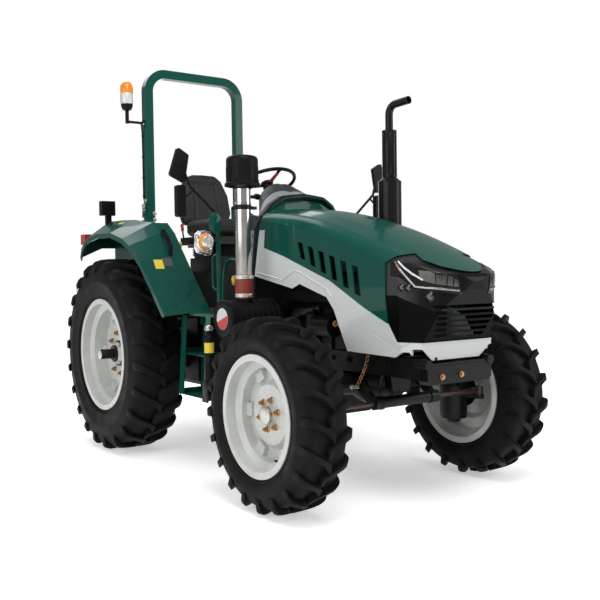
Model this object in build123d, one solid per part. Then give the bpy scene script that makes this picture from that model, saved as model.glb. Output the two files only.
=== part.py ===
from build123d import *
import math
import os

# Farm tractor, millimetres, +X forward, +Y to the tractor's left, +Z up from the ground.
# Everything is drawn from the rear axle and moved along X at the end.

# ---------------------------------------------------------------- driving dimensions
WHEELBASE = 2120
NOSE_X = WHEELBASE + 760     # front of the hood
REAR_END_X = -1000           # back of the lower link balls
FRONT_R = 526                # 11.2-24 tyre, out to the lugs
REAR_R = 700                 # 14.9-30 tyre, out to the lugs
FRONT_TRACK = 1500
REAR_TRACK = 1400
FRONT_W, REAR_W = 285, 378
FRONT_RIM_W, REAR_RIM_W = 254, 330
FRONT_FLANGE_R, REAR_FLANGE_R = 330, 406
FRONT_LUGS, REAR_LUGS = 20, 22       # lugs on each side of a tyre
LUG_H = 34
KINGPIN_Y = 600
STEER_ARM = 215
TIE_ROD_Z = 555
BAR_AXLE_R = 34
HOOD_REAR_X = 1284           # lower rear corner of the hood
HOOD_REAR_Z = 1262
HOOD_LEAN = 0.22             # the hood's rear edge leans forward by this share of its height
HOOD_WALL = 8
HINGE_X, HINGE_Z = 1418, 1650
SEAM = 0.8                   # gap between skin panels
FIT = 0.5                    # turning fits
SEAT_OFF = 0.3               # a part resting on another
SHEET = 8                    # fender sheet
MASK_SET = HOOD_WALL + SEAT_OFF      # the dark mask lies this far inside the painted skin
FENDER_IN_Y, FENDER_TOP_Y, FENDER_OUT_Y = 480, 600, 820
PLATFORM_Z = 1030
PLATFORM_Y = 640
DECK_Z = 1290
SEAT_LEAN = 9                # degrees that the seat back leans back
SEAT_BACK_X = 46
ROPS_X, ROPS_Y, ROPS_TUBE = -120, 400, 66
ROPS_FOLD_Z, ROPS_TOP_Z, ROPS_BEND = 1800, 2860, 175
ROPS_SEAT_R = 105            # axle housing where the roll bar's foot clasps it
BEACON_Y, BEACON_DROP = -570, 420
STACK_X, STACK_Y = 1420, -500
MUFFLER_X, MUFFLER_Y = 1730, 430
POST_X, POST_Y = 1190, 545   # lamp posts
LINK_PIVOT = (-130, 520)
LINK_EYE = (-972, 540)
LINK_EYE_R = 28
LIFT_SHAFT = (-190, 1020)
LIFT_ARM_END = (-490, 1020)
LIFT_ROD_FOOT = (-530, 530)
TOP_LINK_PIN = (-358, 905)
FAR = NOSE_X + 400           # beyond every panel, for cuts


# ---------------------------------------------------------------- helpers
def box(x0, x1, y0, y1, z0, z1):
    return Pos((x0 + x1) / 2, (y0 + y1) / 2, (z0 + z1) / 2) * Box(x1 - x0, y1 - y0, z1 - z0)


def cyl_x(y, z, x0, x1, r):
    return Pos((x0 + x1) / 2, y, z) * Rot(0, 90, 0) * Cylinder(r, x1 - x0)


def cyl_y(x, z, y0, y1, r):
    return Pos(x, (y0 + y1) / 2, z) * Rot(90, 0, 0) * Cylinder(r, y1 - y0)


def cyl_z(x, y, z0, z1, r):
    return Pos(x, y, (z0 + z1) / 2) * Cylinder(r, z1 - z0)


def rod(p, q, r):
    a, b = Vector(*p), Vector(*q)
    d = b - a
    return Plane(origin=a, z_dir=d.normalized()) * Cylinder(
        r, d.length, align=(Align.CENTER, Align.CENTER, Align.MIN))


def bent_rod(points, bend, r):
    line = FilletPolyline(*points, radius=bend)
    return sweep(Plane(origin=line @ 0, z_dir=line % 0) * Circle(r), line)


def plate_y(points, y0, y1):
    """A side view (x, z) drawn out from y0 to y1."""
    face = Plane(origin=(0, y1, 0), x_dir=(1, 0, 0), z_dir=(0, -1, 0)) * make_face(
        Polyline(*points, close=True))
    return extrude(face, amount=y1 - y0)


def plate_x(points, x0, x1):
    """A front view (y, z) drawn out from x0 to x1."""
    face = Plane(origin=(x0, 0, 0), x_dir=(0, 1, 0), z_dir=(1, 0, 0)) * make_face(
        Polyline(*points, close=True))
    return extrude(face, amount=x1 - x0)


def plate_z(points, z0, z1):
    """A plan view (x, y) drawn out from z0 to z1."""
    return extrude(Plane.XY.offset(z0) * make_face(Polyline(*points, close=True)), amount=z1 - z0)


def turned(profile, x, z):
    """A closed (y, radius) profile turned about the Y line through (x, z)."""
    face = Plane(origin=(x, 0, z), x_dir=(0, 1, 0), z_dir=(1, 0, 0)) * make_face(
        Polyline(*profile, close=True))
    return revolve(face, Axis((x, 0, z), (0, 1, 0)))


def stack(x, y, profile):
    """A closed (radius, z) profile turned about the upright line through (x, y)."""
    face = Plane(origin=(x, y, 0), x_dir=(1, 0, 0), z_dir=(0, -1, 0)) * make_face(
        Polyline(*profile, close=True))
    return revolve(face, Axis((x, y, 0), (0, 0, 1)))


def left_of(part):
    return mirror(part, about=Plane.XZ)


def both(part):
    """The part and its mirror image on the other side, as loose solids."""
    return Compound(children=[*part.solids(), *left_of(part).solids()])


def eased(part, radius, keep):
    edges = [e for e in part.edges() if keep(e @ 0.5)]
    return fillet(edges, radius)


NODES = {}

# ---------------------------------------------------------------- engine
BLOCK_X0, BLOCK_X1 = 1300, WHEELBASE - 200       # crankcase between clutch housing and front axle
SNOUT_X = WHEELBASE + 20                         # front cover above the axle
MANIFOLD_Y = 176                                 # outer face of the exhaust manifold
engine = box(BLOCK_X0, BLOCK_X1, -150, 150, 530, 1060)
engine += box(BLOCK_X1 - 10, SNOUT_X - 60, -150, 150, 800, 1060)
engine += box(BLOCK_X0 + 30, SNOUT_X - 60, -120, 120, 1060, 1210)
engine += eased(box(BLOCK_X0 + 50, SNOUT_X - 80, -90, 90, 1210, 1285), 20, lambda c: c.Z > 1280)
engine += plate_x([(-128, 530), (128, 530), (96, 430), (-96, 430)], BLOCK_X0 + 200, BLOCK_X1 - 10)
engine += box(SNOUT_X - 60, SNOUT_X, -130, 130, 830, 1040)
for z, r, length in ((930, 88, 36), (1088, 52, 30)):          # crank pulley and fan pulley
    engine += cyl_x(0, z, SNOUT_X, SNOUT_X + length, r)
for blade in range(7):
    engine += Pos(SNOUT_X + 44, 0, 1088) * Rot(blade * 360 / 7, 0, 0) * Pos(0, 0, 104) * Rot(0, 0, 28) * Box(
        6, 58, 118)
engine += cyl_x(0, 1088, SNOUT_X + 28, SNOUT_X + 62, 60)
# block ribs and core plugs down each side
for i in range(5):
    x = BLOCK_X0 + 60 + i * (BLOCK_X1 - BLOCK_X0 - 120) / 4
    engine += box(x - 7, x + 7, -164, 164, 560, 1040)
for i in range(4):
    x = BLOCK_X0 + 110 + i * (BLOCK_X1 - BLOCK_X0 - 220) / 3
    engine += cyl_y(x, 1135, -136, 136, 30)                   # manifold ports
engine += box(BLOCK_X0 + 80, BLOCK_X1 - 20, -178, -120, 1100, 1168)       # inlet manifold
engine += box(BLOCK_X0 + 80, BLOCK_X1 - 20, 120, MANIFOLD_Y, 1104, 1160)  # exhaust manifold
engine += cyl_z(BLOCK_X0 + 250, -205, 700, 850, 46) + box(BLOCK_X0 + 220, BLOCK_X0 + 280, -210, -150, 850,
                                                          900)
engine += cyl_z(BLOCK_X0 + 420, -200, 880, 1030, 40) + box(BLOCK_X0 + 390, BLOCK_X0 + 450, -206, -150, 1030,
                                                           1060)
engine += cyl_x(-200, 960, BLOCK_X1 - 140, BLOCK_X1 + 30, 62)             # alternator
engine += cyl_x(205, 700, BLOCK_X0 + 10, BLOCK_X0 + 230, 48)              # starter
engine += box(BLOCK_X0 + 300, BLOCK_X0 + 520, 150, 232, 800, 900)         # injection pump
NODES["engine"] = engine

# ---------------------------------------------------------------- transmission and rear axle
HOUSING_Y0, HOUSING_Y1 = 200, 560
HOUSING_RIB_Y = 204                              # half width over the joint flanges
transmission = box(900, BLOCK_X0, -190, 190, 480, 930)
transmission += box(250, 900, -175, 175, 470, 900)
transmission += box(-300, 250, -205, 205, 470, 960)
transmission += cyl_y(LIFT_SHAFT[0], LIFT_SHAFT[1], -150, 150, 70)
transmission += box(-290, -60, -150, 150, 940, 1020)
transmission += cyl_x(0, 620, -330, -290, 62)
transmission += cyl_x(0, 620, -376, -320, 17.4)
for x in (250, 560, 900, 1280):
    transmission += box(x - 12, x + 12, -HOUSING_RIB_Y, HOUSING_RIB_Y, 466, 946)
for side in (-1, 1):
    tube = turned([(HOUSING_Y0, 0), (HOUSING_Y0, 150), (HOUSING_Y0 + 30, 150), (HOUSING_Y0 + 60, 112),
                   (ROPS_Y - 70, ROPS_SEAT_R), (ROPS_Y + 70, ROPS_SEAT_R), (HOUSING_Y1 - 60, 96),
                   (HOUSING_Y1 - 40, 105), (HOUSING_Y1, 105), (HOUSING_Y1, 0)], 0, REAR_R)
    tube -= cyl_y(0, REAR_R, HOUSING_Y1 - 160, HOUSING_Y1, BAR_AXLE_R + FIT)
    transmission += tube if side > 0 else left_of(tube)
    transmission += box(-170, -90, min(side * 160, side * 204.9), max(side * 160, side * 204.9), 476, 566)
    transmission += box(-384, -300, side * 41 - 19, side * 41 + 19, 860, 950)
transmission += cyl_y(*TOP_LINK_PIN, -68, 68, 12.4)
NODES["transmission"] = transmission

# ---------------------------------------------------------------- front support, axle and radiator
RAIL_X0, RAIL_X1 = WHEELBASE - 180, NOSE_X - 160
front_support = box(RAIL_X0, RAIL_X1, -250, -205, 720, 830) + box(RAIL_X0, RAIL_X1, 205, 250, 720, 830)
front_support += plate_x([(-222, 696), (222, 696), (236, 716), (236, 793), (-236, 793), (-236, 716)],
                         RAIL_X1 - 30, RAIL_X1 + 40)
front_support += box(RAIL_X1 - 40, RAIL_X1 + 36, -250, 250, 793, 806)
front_support += cyl_x(-228, 800, RAIL_X1 - 40, RAIL_X1 + 44, 26) + cyl_x(228, 800, RAIL_X1 - 40,
                                                                          RAIL_X1 + 44, 26)
front_support += box(WHEELBASE - 130, WHEELBASE - 50, -206, -150.3, 800, 830)
front_support += box(WHEELBASE - 130, WHEELBASE - 50, 150.3, 206, 800, 830)
for x0, x1 in ((WHEELBASE - 180, WHEELBASE - 145), (WHEELBASE + 146, WHEELBASE + 180)):
    front_support += plate_x([(-206, 790), (206, 790), (206, 740), (90, 740), (60, 590), (-60, 590),
                              (-90, 740),
                              (-206, 740)], x0, x1)
NODES["front_support"] = front_support

AXLE_Z = 645
PIVOT_LEN = 145 - SEAT_OFF - 0.2                  # swing pin, between the two hangers
axle_profile = [(-530, 0), (-530, 30), (-508, 34), (-486, 60), (-452, 52), (-210, 64), (-150, 104),
                (-84, 134),
                (60, 134), (118, 104), (170, 64), (452, 52), (486, 60), (508, 34), (530, 30), (530, 0)]
front_axle = turned(axle_profile, WHEELBASE, AXLE_Z)
front_axle += cyl_x(0, AXLE_Z, WHEELBASE - PIVOT_LEN, WHEELBASE + PIVOT_LEN, 42)
front_axle += cyl_x(-12, AXLE_Z, WHEELBASE - 140, WHEELBASE, 80)
for side in (-1, 1):
    front_axle += cyl_z(WHEELBASE, side * KINGPIN_Y, 610, 706, 84)
    front_axle += cyl_z(WHEELBASE, side * KINGPIN_Y, 706, 718, 60)
NODES["front_axle"] = front_axle
RADIATOR_X = WHEELBASE + 230
radiator = box(RADIATOR_X, RADIATOR_X + 80, -235, 235, 850, 1290)
radiator += box(RADIATOR_X - 6, RADIATOR_X + 86, -240, 240, 830.3, 860)
radiator += box(RADIATOR_X - 6, RADIATOR_X + 86, -240, 240, 1290, 1350)
radiator += cyl_z(RADIATOR_X + 40, 0, 1350, 1368, 30)
NODES["radiator"] = radiator

# ---------------------------------------------------------------- front hubs and steering
knuckle = stack(WHEELBASE, -KINGPIN_Y, [(0, 334), (40, 334), (46, 352), (80, 360), (84, 400), (84, 560),
                                        (76, 609.5), (0, 609.5)])
knuckle += turned([(-KINGPIN_Y - 100, 0), (-KINGPIN_Y - 100, 98), (-KINGPIN_Y - 94, 104),
                   (-KINGPIN_Y - 92, 80), (-KINGPIN_Y, 80), (-KINGPIN_Y, 0)], WHEELBASE, FRONT_R)
knuckle += box(WHEELBASE + 40, WHEELBASE + STEER_ARM, -KINGPIN_Y - 24, -KINGPIN_Y + 24, TIE_ROD_Z - 52,
               TIE_ROD_Z - 26)
knuckle += cyl_z(WHEELBASE + STEER_ARM, -KINGPIN_Y, TIE_ROD_Z - 52, TIE_ROD_Z - 26, 28)
NODES["knuckle_right"] = knuckle
NODES["knuckle_left"] = left_of(knuckle)

ROD_X = WHEELBASE + STEER_ARM
steering_cylinder = cyl_y(ROD_X, TIE_ROD_Z, -190, 190, 32)
for y0, y1 in ((-196, -176), (176, 196)):
    steering_cylinder += cyl_y(ROD_X, TIE_ROD_Z, y0, y1, 38)
for side in (-1, 1):
    steering_cylinder += plate_y([(WHEELBASE + 64 + SEAT_OFF, 690), (WHEELBASE + 64 + SEAT_OFF, 622),
                                  (ROD_X - 20, TIE_ROD_Z - 20), (ROD_X + 10, TIE_ROD_Z),
                                  (ROD_X - 10, TIE_ROD_Z + 26), (WHEELBASE + 110, 690)],
                                 side * 225 - 15, side * 225 + 15)
    steering_cylinder += cyl_y(ROD_X, TIE_ROD_Z, side * 215 - 25, side * 215 + 25, 36)
steering_cylinder -= cyl_y(ROD_X, TIE_ROD_Z, -260, 260, 14 + FIT)
NODES["steering_cylinder"] = steering_cylinder
tie_rod = cyl_y(ROD_X, TIE_ROD_Z, -KINGPIN_Y, KINGPIN_Y, 14)
for side in (-1, 1):
    tie_rod += cyl_z(ROD_X, side * KINGPIN_Y, TIE_ROD_Z - 25.5, TIE_ROD_Z + 22, 24)
    tie_rod += cyl_y(ROD_X, TIE_ROD_Z, side * 545 - 25, side * 545 + 25, 19)
NODES["tie_rod"] = tie_rod


# ---------------------------------------------------------------- wheels
def rim(width, flange_r, disc_at, disc_r, dish, hole_r):
    """Half section of a drop-centre rim with its stepped disc, centred on y = 0, outside at -y."""
    h = width / 2
    bead, well = flange_r - 24, flange_r - 66
    return [(-h, flange_r), (-h + 12, flange_r), (-h + 12, bead), (-h + 60, bead - 4), (-h + 84, well),
            (h - 84, well), (h - 60, bead - 4), (h - 12, bead), (h - 12, flange_r), (h, flange_r),
            (h, bead - 12), (h - 56, bead - 16), (h - 78, well - 10), (disc_at + dish, well - 10),
            (disc_at + dish, disc_r + 14), (disc_at, disc_r - 14), (disc_at, hole_r), (disc_at - 12, hole_r),
            (disc_at - 12, disc_r - 10), (disc_at + dish - 12, disc_r + 18), (disc_at + dish - 12, well - 10),
            (-h + 78, well - 10), (-h + 56, bead - 16), (-h, bead - 12)]


def rim_lugs(width, flange_r, disc_at, dish, y_mid, x, z, count=6):
    """Blocks welded inside the barrel that carry the disc."""
    lugs = []
    for i in range(count):
        lug = Pos(0, y_mid + disc_at + dish - 22, flange_r - 100) * Box(74, 30, 66)
        lugs.append(Pos(x, 0, z) * Rot(0, (i + 0.5) * 360 / count, 0) * lug)
    return lugs


def tyre(width, radius, rim_width, flange_r):
    """Closed carcass section, up to the foot of the lugs."""
    h, b = width / 2, rim_width / 2 - 14
    bead, tread = flange_r - 24 + SEAT_OFF, radius - LUG_H
    mid = (bead + tread) / 2 + 8
    return [(-b, bead), (-b, flange_r + 2), (-b - 6, flange_r + 16), (-h, mid), (-h * 0.9, tread - 30),
            (-h * 0.64, tread), (h * 0.64, tread), (h * 0.9, tread - 30), (h, mid), (b + 6, flange_r + 16),
            (b, flange_r + 2), (b, bead), (b - 26, bead), (h - 26, mid), (h * 0.7, tread - 40),
            (-h * 0.7, tread - 40), (-h + 26, mid), (-b + 26, bead)]


def tread_lugs(width, radius, count):
    """Bars from the shoulder to past the middle; the middle ends lead as the wheel rolls forward."""
    h, tread = width / 2, radius - LUG_H
    # columns: y, degrees that the bar's middle lies ahead, half width there in degrees
    bar = [(-h * 0.97, -8.0, 2.2), (h * 0.07, 2.5, 3.0)]
    corner = math.radians(bar[-1][1] + bar[-1][2]) * radius
    top = math.sqrt(radius ** 2 - corner ** 2)
    face = make_face(Polyline(
        *[(y, -math.radians(lead - half) * radius) for y, lead, half in bar],
        *[(y, -math.radians(lead + half) * radius) for y, lead, half in reversed(bar)], close=True))
    # the bar's top leans over the shoulder
    slope = plate_x([(-h * 0.97, tread - 60), (-h * 0.97, top - 26), (-h * 0.6, top), (h * 0.1, top),
                     (h * 0.1, tread - 30)], -radius, radius)
    one = extrude(Plane(origin=(0, 0, tread - 60), x_dir=(0, 1, 0), z_dir=(0, 0, 1)) * face,
                  amount=120) & slope
    other = mirror(one, about=Plane.XZ)
    pitch = 360 / count
    foot = (180 - math.degrees(math.atan2(corner, top))) % (pitch / 2)      # a bar's corner meets the ground
    return [Rot(0, pitch * (i + shift) + foot, 0) * side
            for i in range(count) for side, shift in ((one, 0), (other, 0.5))]


def moved(profile, y):
    return [(p + y, r) for p, r in profile]


# columns: node ending, x, radius, track, tyre width, rim width, flange radius, disc place, disc radius,
# dish, lugs
WHEELS = [
    ("front", WHEELBASE, FRONT_R, FRONT_TRACK, FRONT_W, FRONT_RIM_W, FRONT_FLANGE_R, -17, 172, 34,
     FRONT_LUGS),
    ("rear", 0, REAR_R, REAR_TRACK, REAR_W, REAR_RIM_W, REAR_FLANGE_R, -8, 226, 30, REAR_LUGS),
]
front_hub = [(-FRONT_TRACK / 2 - 50, 0), (-FRONT_TRACK / 2 - 50, 44), (-FRONT_TRACK / 2 - 42, 52),
             (-FRONT_TRACK / 2 - 28, 60), (-KINGPIN_Y - 100.5, 60), (-KINGPIN_Y - 100.5, 0)]
rear_hub = [(-REAR_TRACK / 2 - 176, 0), (-REAR_TRACK / 2 - 176, BAR_AXLE_R),
            (-REAR_TRACK / 2 - 60, BAR_AXLE_R),
            (-REAR_TRACK / 2 - 60, 70), (-REAR_TRACK / 2 - 22, 96), (-REAR_TRACK / 2 - 8, 110),
            (-REAR_TRACK / 2 + 10, 110), (-REAR_TRACK / 2 + 50, 70), (-REAR_TRACK / 2 + 100, 60),
            (-REAR_TRACK / 2 + 100, BAR_AXLE_R), (-HOUSING_Y1 + 155, BAR_AXLE_R), (-HOUSING_Y1 + 155, 0)]
for name, x, radius, track, width, rim_w, flange_r, disc_at, disc_r, dish, lugs in WHEELS:
    wheel_rim = turned(moved(rim(rim_w, flange_r, disc_at, disc_r, dish, 50), -track / 2), x, radius)
    wheel_rim += turned(front_hub if name == "front" else rear_hub, x, radius)
    wheel_rim += rim_lugs(rim_w, flange_r, disc_at, dish, -track / 2, x, radius)
    carcass = turned(tyre(width, radius, rim_w, flange_r), 0, 0)
    wheel_tyre = Pos(x, -track / 2, radius) * (carcass + tread_lugs(width, radius, lugs))
    NODES[f"rim_{name}_right"], NODES[f"rim_{name}_left"] = wheel_rim, left_of(wheel_rim)
    NODES[f"tyre_{name}_right"], NODES[f"tyre_{name}_left"] = wheel_tyre, left_of(wheel_tyre)

# ---------------------------------------------------------------- hood
def back(dx):
    """A place counted backwards from the nose."""
    return NOSE_X - dx


# columns: x, half width, z where the side turns in, shoulder y and z, centre panel z at its edge, crown z
HOOD_SECTIONS = [
    (HOOD_REAR_X - 60, 337, 1605, 262, 1677, 1694, 1704),
    (back(1120), 327, 1548, 255, 1622, 1644, 1654),
    (back(735), 319, 1450, 246, 1530, 1552, 1562),
    (back(362), 308, 1332, 232, 1398, 1414, 1424),
    (back(-20), 296, 1180, 214, 1234, 1252, 1260),
]
HOOD_FLOOR = 700
PANEL_Y = 150            # half width of the centre panel


def hood_section(x, w, side_z, sy, sz, pz, crown, t):
    w, sy, side_z, sz, pz, crown = w - t, sy - t * 0.6, side_z - t * 0.5, sz - t, pz - t, crown - t
    bulge = ((w + sy) / 2 + 0.16 * (w - sy), (side_z + sz) / 2 + 0.2 * (sz - side_z))
    curve = [
        Line((-w, HOOD_FLOOR), (-w, side_z)),
        ThreePointArc((-w, side_z), (-bulge[0], bulge[1]), (-sy, sz)),
        Line((-sy, sz), (-PANEL_Y, pz)),
        ThreePointArc((-PANEL_Y, pz), (0, crown), (PANEL_Y, pz)),
        Line((PANEL_Y, pz), (sy, sz)),
        ThreePointArc((sy, sz), (bulge[0], bulge[1]), (w, side_z)),
        Line((w, side_z), (w, HOOD_FLOOR)),
        Line((w, HOOD_FLOOR), (-w, HOOD_FLOOR)),
    ]
    return Plane(origin=(x, 0, 0), x_dir=(0, 1, 0), z_dir=(1, 0, 0)) * make_face(curve)


def nose_plan(t):
    """Plan view cut that rounds the nose, t inside the skin; the mask's face reaches NOSE_X."""
    front = back(t - MASK_SET)
    tip, cheek, flat, side = front - 68, front - 135, back(440), 250 - t
    curve = [
        Line((1000, -500), (flat, -500)),
        Line((flat, -500), (flat, -340)),
        ThreePointArc((flat, -340), (cheek, -side), (tip, -205)),
        ThreePointArc((tip, -205), (front, 0), (tip, 205)),
        ThreePointArc((tip, 205), (cheek, side), (flat, 340)),
        Line((flat, 340), (flat, 500)),
        Line((flat, 500), (1000, 500)),
        Line((1000, 500), (1000, -500)),
    ]
    return extrude(Plane.XY.offset(600) * make_face(curve), amount=1300)


def nose_side(t):
    """Side view cut: the nose leans back below its tip."""
    front = back(t - MASK_SET)
    return plate_y([(1000, 600), (front - 182, 600), (front - 150, 900), (front - 8, 1185), (front, 1225),
                    (front - 8, 1250), (front - 20, 1275 - t), (front - 20, 1900), (1000, 1900)], -500, 500)


def hood_solid(t):
    return loft([hood_section(*row, t) for row in HOOD_SECTIONS]) & nose_plan(t) & nose_side(t)


def rear_edge(dx):
    """The hood's leaning rear edge, dx further forward, as two points."""
    return [(HOOD_REAR_X + dx - 100 * HOOD_LEAN, HOOD_REAR_Z - 100),
            (HOOD_REAR_X + dx + (1900 - HOOD_REAR_Z) * HOOD_LEAN, 1900)]


def behind(dx):
    return plate_y(rear_edge(dx) + [(1000, 1900), (1000, HOOD_REAR_Z - 100)], -500, 500)


outer_skin, inner_skin = hood_solid(0), hood_solid(HOOD_WALL)
skin = outer_skin - inner_skin - behind(0)
# side view: lower edge of the whole bonnet
HOOD_EDGE = [(1200, 1272), (HOOD_REAR_X, HOOD_REAR_Z), (back(1186), 1186), (back(1112), 1214),
             (back(853), 1140),
             (back(787), 1068), (back(671), 843), (back(287), 835), (back(236), 866), (back(200), 866),
             (back(168), 820), (FAR, 820)]
# side view: seam between the painted shell and the pale skirt, whose rear corner stands up
SKIRT_SEAM = [(1100, 1552), (1408, 1552), (1394, 1440), (back(1269), 1381), (back(818), 1232),
              (back(527), 1086),
              (back(344), 1008), (back(280), 915), (FAR, 915)]
# side view: seam of the dark nose mask
MASK_SEAM = [(back(344), 1008), (back(360), 1140), (back(357), 1325), (back(280), 1376), (back(200), 1338),
             (back(110), 1306), (back(20), 1276), (FAR, 1262)]


def shifted(points, dx, dz):
    return [(x + dx, z + dz) for x, z in points]


below_edge = plate_y([(1000, 500)] + HOOD_EDGE + [(FAR, 500)], -600, 600)
below = plate_y([(1000, 500)] + SKIRT_SEAM + [(FAR, 500)], -600, 600)
below_gap = plate_y([(1000, 500)] + shifted(SKIRT_SEAM, SEAM, SEAM) + [(FAR, 500)], -600, 600)
ahead = plate_y(MASK_SEAM + [(FAR, 800), (back(320), 800)], -600, 600)
ahead_gap = plate_y(shifted(MASK_SEAM, -SEAM, SEAM) + [(FAR, 700), (back(320) - SEAM, 700)], -600, 600)

# bevelled lower corners of the bumper, seen from the front
corner_cut = plate_x([(246, 882), (400, 882), (400, 700), (110, 700), (175, 820)], back(190), FAR)
corner_cut += left_of(corner_cut)
skirt = (skin & below) - below_edge - corner_cut
groove = plate_y([(back(478), 969), (back(267), 886), (back(178), 922), (back(178), 914), (back(267), 876),
                  (back(484), 960)], -500, 500)
skirt -= groove - hood_solid(2.5)
NODES["hood_skirt"] = skirt

# louvres: slots that lean forward going down, each with a blade behind it
LOUVRES = 6
SLOT_W = 52
shell = skin - below_gap - ahead_gap - below_edge
blades = []
for i in range(LOUVRES):
    upper, lower = (back(1127 - 100 * i), 1466 - 29 * i), (back(1099 - 99 * i), 1366 - 41 * i)
    slot = plate_y([upper, (upper[0] + SLOT_W, upper[1] - 12), (lower[0] + SLOT_W, lower[1] - 14), lower],
                   -360, 360)
    shell -= slot
    wide = 337 - 19 * (upper[0] - HOOD_REAR_X) / (back(735) - HOOD_REAR_X)
    plan = [(SLOT_W + 4, -wide + 2), (SLOT_W + 4, -wide + 7), (8, -wide + 34), (8, -wide + 30)]
    foot = Plane(origin=(lower[0], 0, lower[1] - 12)) * make_face(Polyline(*plan, close=True))
    blade = extrude(foot, amount=math.hypot(upper[0] - lower[0], upper[1] - lower[1]),
                    dir=(upper[0] - lower[0], 0, upper[1] - lower[1]))
    blade -= below_gap
    blades += [blade, left_of(blade)]
shell += blades
hinge_ear = plate_y([(HINGE_X - 14, HINGE_Z - 4), (HINGE_X - 6, HINGE_Z - 14), (HINGE_X + 6, HINGE_Z - 14),
                     (HINGE_X + 14, HINGE_Z - 4), (HINGE_X + 32, HINGE_Z + 48), (HINGE_X - 24, HINGE_Z + 48)],
                    158, 168)
hinge_ear = (hinge_ear & hood_solid(HOOD_WALL - 1)) - cyl_y(HINGE_X, HINGE_Z, 150, 175, 6 + FIT / 2)
shell += [hinge_ear, left_of(hinge_ear)]
NODES["hood_shell"] = shell

# dark mask that laps behind the paint's edges, with a slatted grille low in its front
mask_edge = shifted(MASK_SEAM, -16, 14)
mask_floor = plate_y([(1000, 500)] + shifted(SKIRT_SEAM, 0, -16) + [(FAR, 500)], -600, 600)
mask = (hood_solid(MASK_SET) - hood_solid(MASK_SET + HOOD_WALL)) & plate_y(
    mask_edge + [(FAR, 860), (back(346), 860)], -600, 600)
mask -= mask_floor
SLATS = 6
for i in range(SLATS):
    z0 = 940 + 30 * i
    half = 176 + 8 * i
    mask -= plate_x([(-half, z0), (half, z0), (half + 6, z0 + 18), (-half - 6, z0 + 18)], back(200), FAR)

# front view of a headlamp: a wedge under the lip that narrows towards the middle
LAMP_VIEW = [(304, 1334), (250, 1318), (120, 1262), (96, 1165), (110, 1160), (262, 1190), (288, 1240),
             (322, 1300), (322, 1334)]
lamp_band = hood_solid(MASK_SET - 3) - hood_solid(MASK_SET + HOOD_WALL + 12)
lamp_side = plate_y([(back(324), 1100)] + [(x + 3, z - 4) for x, z in MASK_SEAM[2:]] + [(FAR, 1100)], -330,
                    330)
for side in (-1, 1):
    lamp_block = plate_x([(side * y, z) for y, z in LAMP_VIEW], back(324), FAR) & lamp_side
    mask -= offset(lamp_block, SEAT_OFF)
    if side < 0:
        NODES["headlamps"] = both((lamp_band & lamp_block).solids().sort_by(SortBy.VOLUME)[-1])
NODES["hood_mask"] = mask

# ---------------------------------------------------------------- cowl, dash and steering wheel
def arch_front(dx):
    """The cowl arch leans less than the hood's edge; dx is counted forward from its front."""
    return [(1240 + dx, HOOD_REAR_Z - 300), (1262 + dx, HOOD_REAR_Z),
            (1262 + dx + 640 * 0.16, HOOD_REAR_Z + 640)]


def slab(dx0, dx1):
    return plate_y(arch_front(dx0) + list(reversed(arch_front(dx1))), -500, 500)


ARCH = [(-338, 1240), (-338, 1565), (-306, 1645), (-242, 1728), (-162, 1775), (0, 1792), (162, 1775),
        (242, 1728),
        (306, 1645), (338, 1565), (338, 1240)]


def arch_inside(t):
    """The arch outline drawn in by t, open at the bottom."""
    k = 1 - t / 338
    return [(y * k, z if z < 1300 else z - t * (0.35 if z < 1600 else 0.9)) for y, z in ARCH]


band = plate_x(ARCH, 1000, 1500) - plate_x([(y, z - 1 if z < 1300 else z) for y, z in arch_inside(26)], 999,
                                           1501)
cowl = band & slab(-34, 0)
panel_outer = plate_x(arch_inside(12), 1000, 1500)
panel_inner = plate_x([(y, z - 1 if z < 1300 else z) for y, z in arch_inside(20)], 999, 1501)
NODES["cowl_panel"] = ((panel_outer - panel_inner) & slab(SEAT_OFF, 120)) - plate_y(
    rear_edge(-6) + [(FAR, 1900), (FAR, HOOD_REAR_Z - 100)], -500, 500)


def dash_section(x, w, base, shoulder, crown):
    curve = [
        Line((-w, base), (-w, shoulder)),
        ThreePointArc((-w, shoulder), (-w * 0.72, shoulder + (crown - shoulder) * 0.74), (0, crown)),
        ThreePointArc((0, crown), (w * 0.72, shoulder + (crown - shoulder) * 0.74), (w, shoulder)),
        Line((w, shoulder), (w, base)),
        Line((w, base), (-w, base)),
    ]
    return Plane(origin=(x, 0, 0), x_dir=(0, 1, 0), z_dir=(1, 0, 0)) * make_face(curve)


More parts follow.
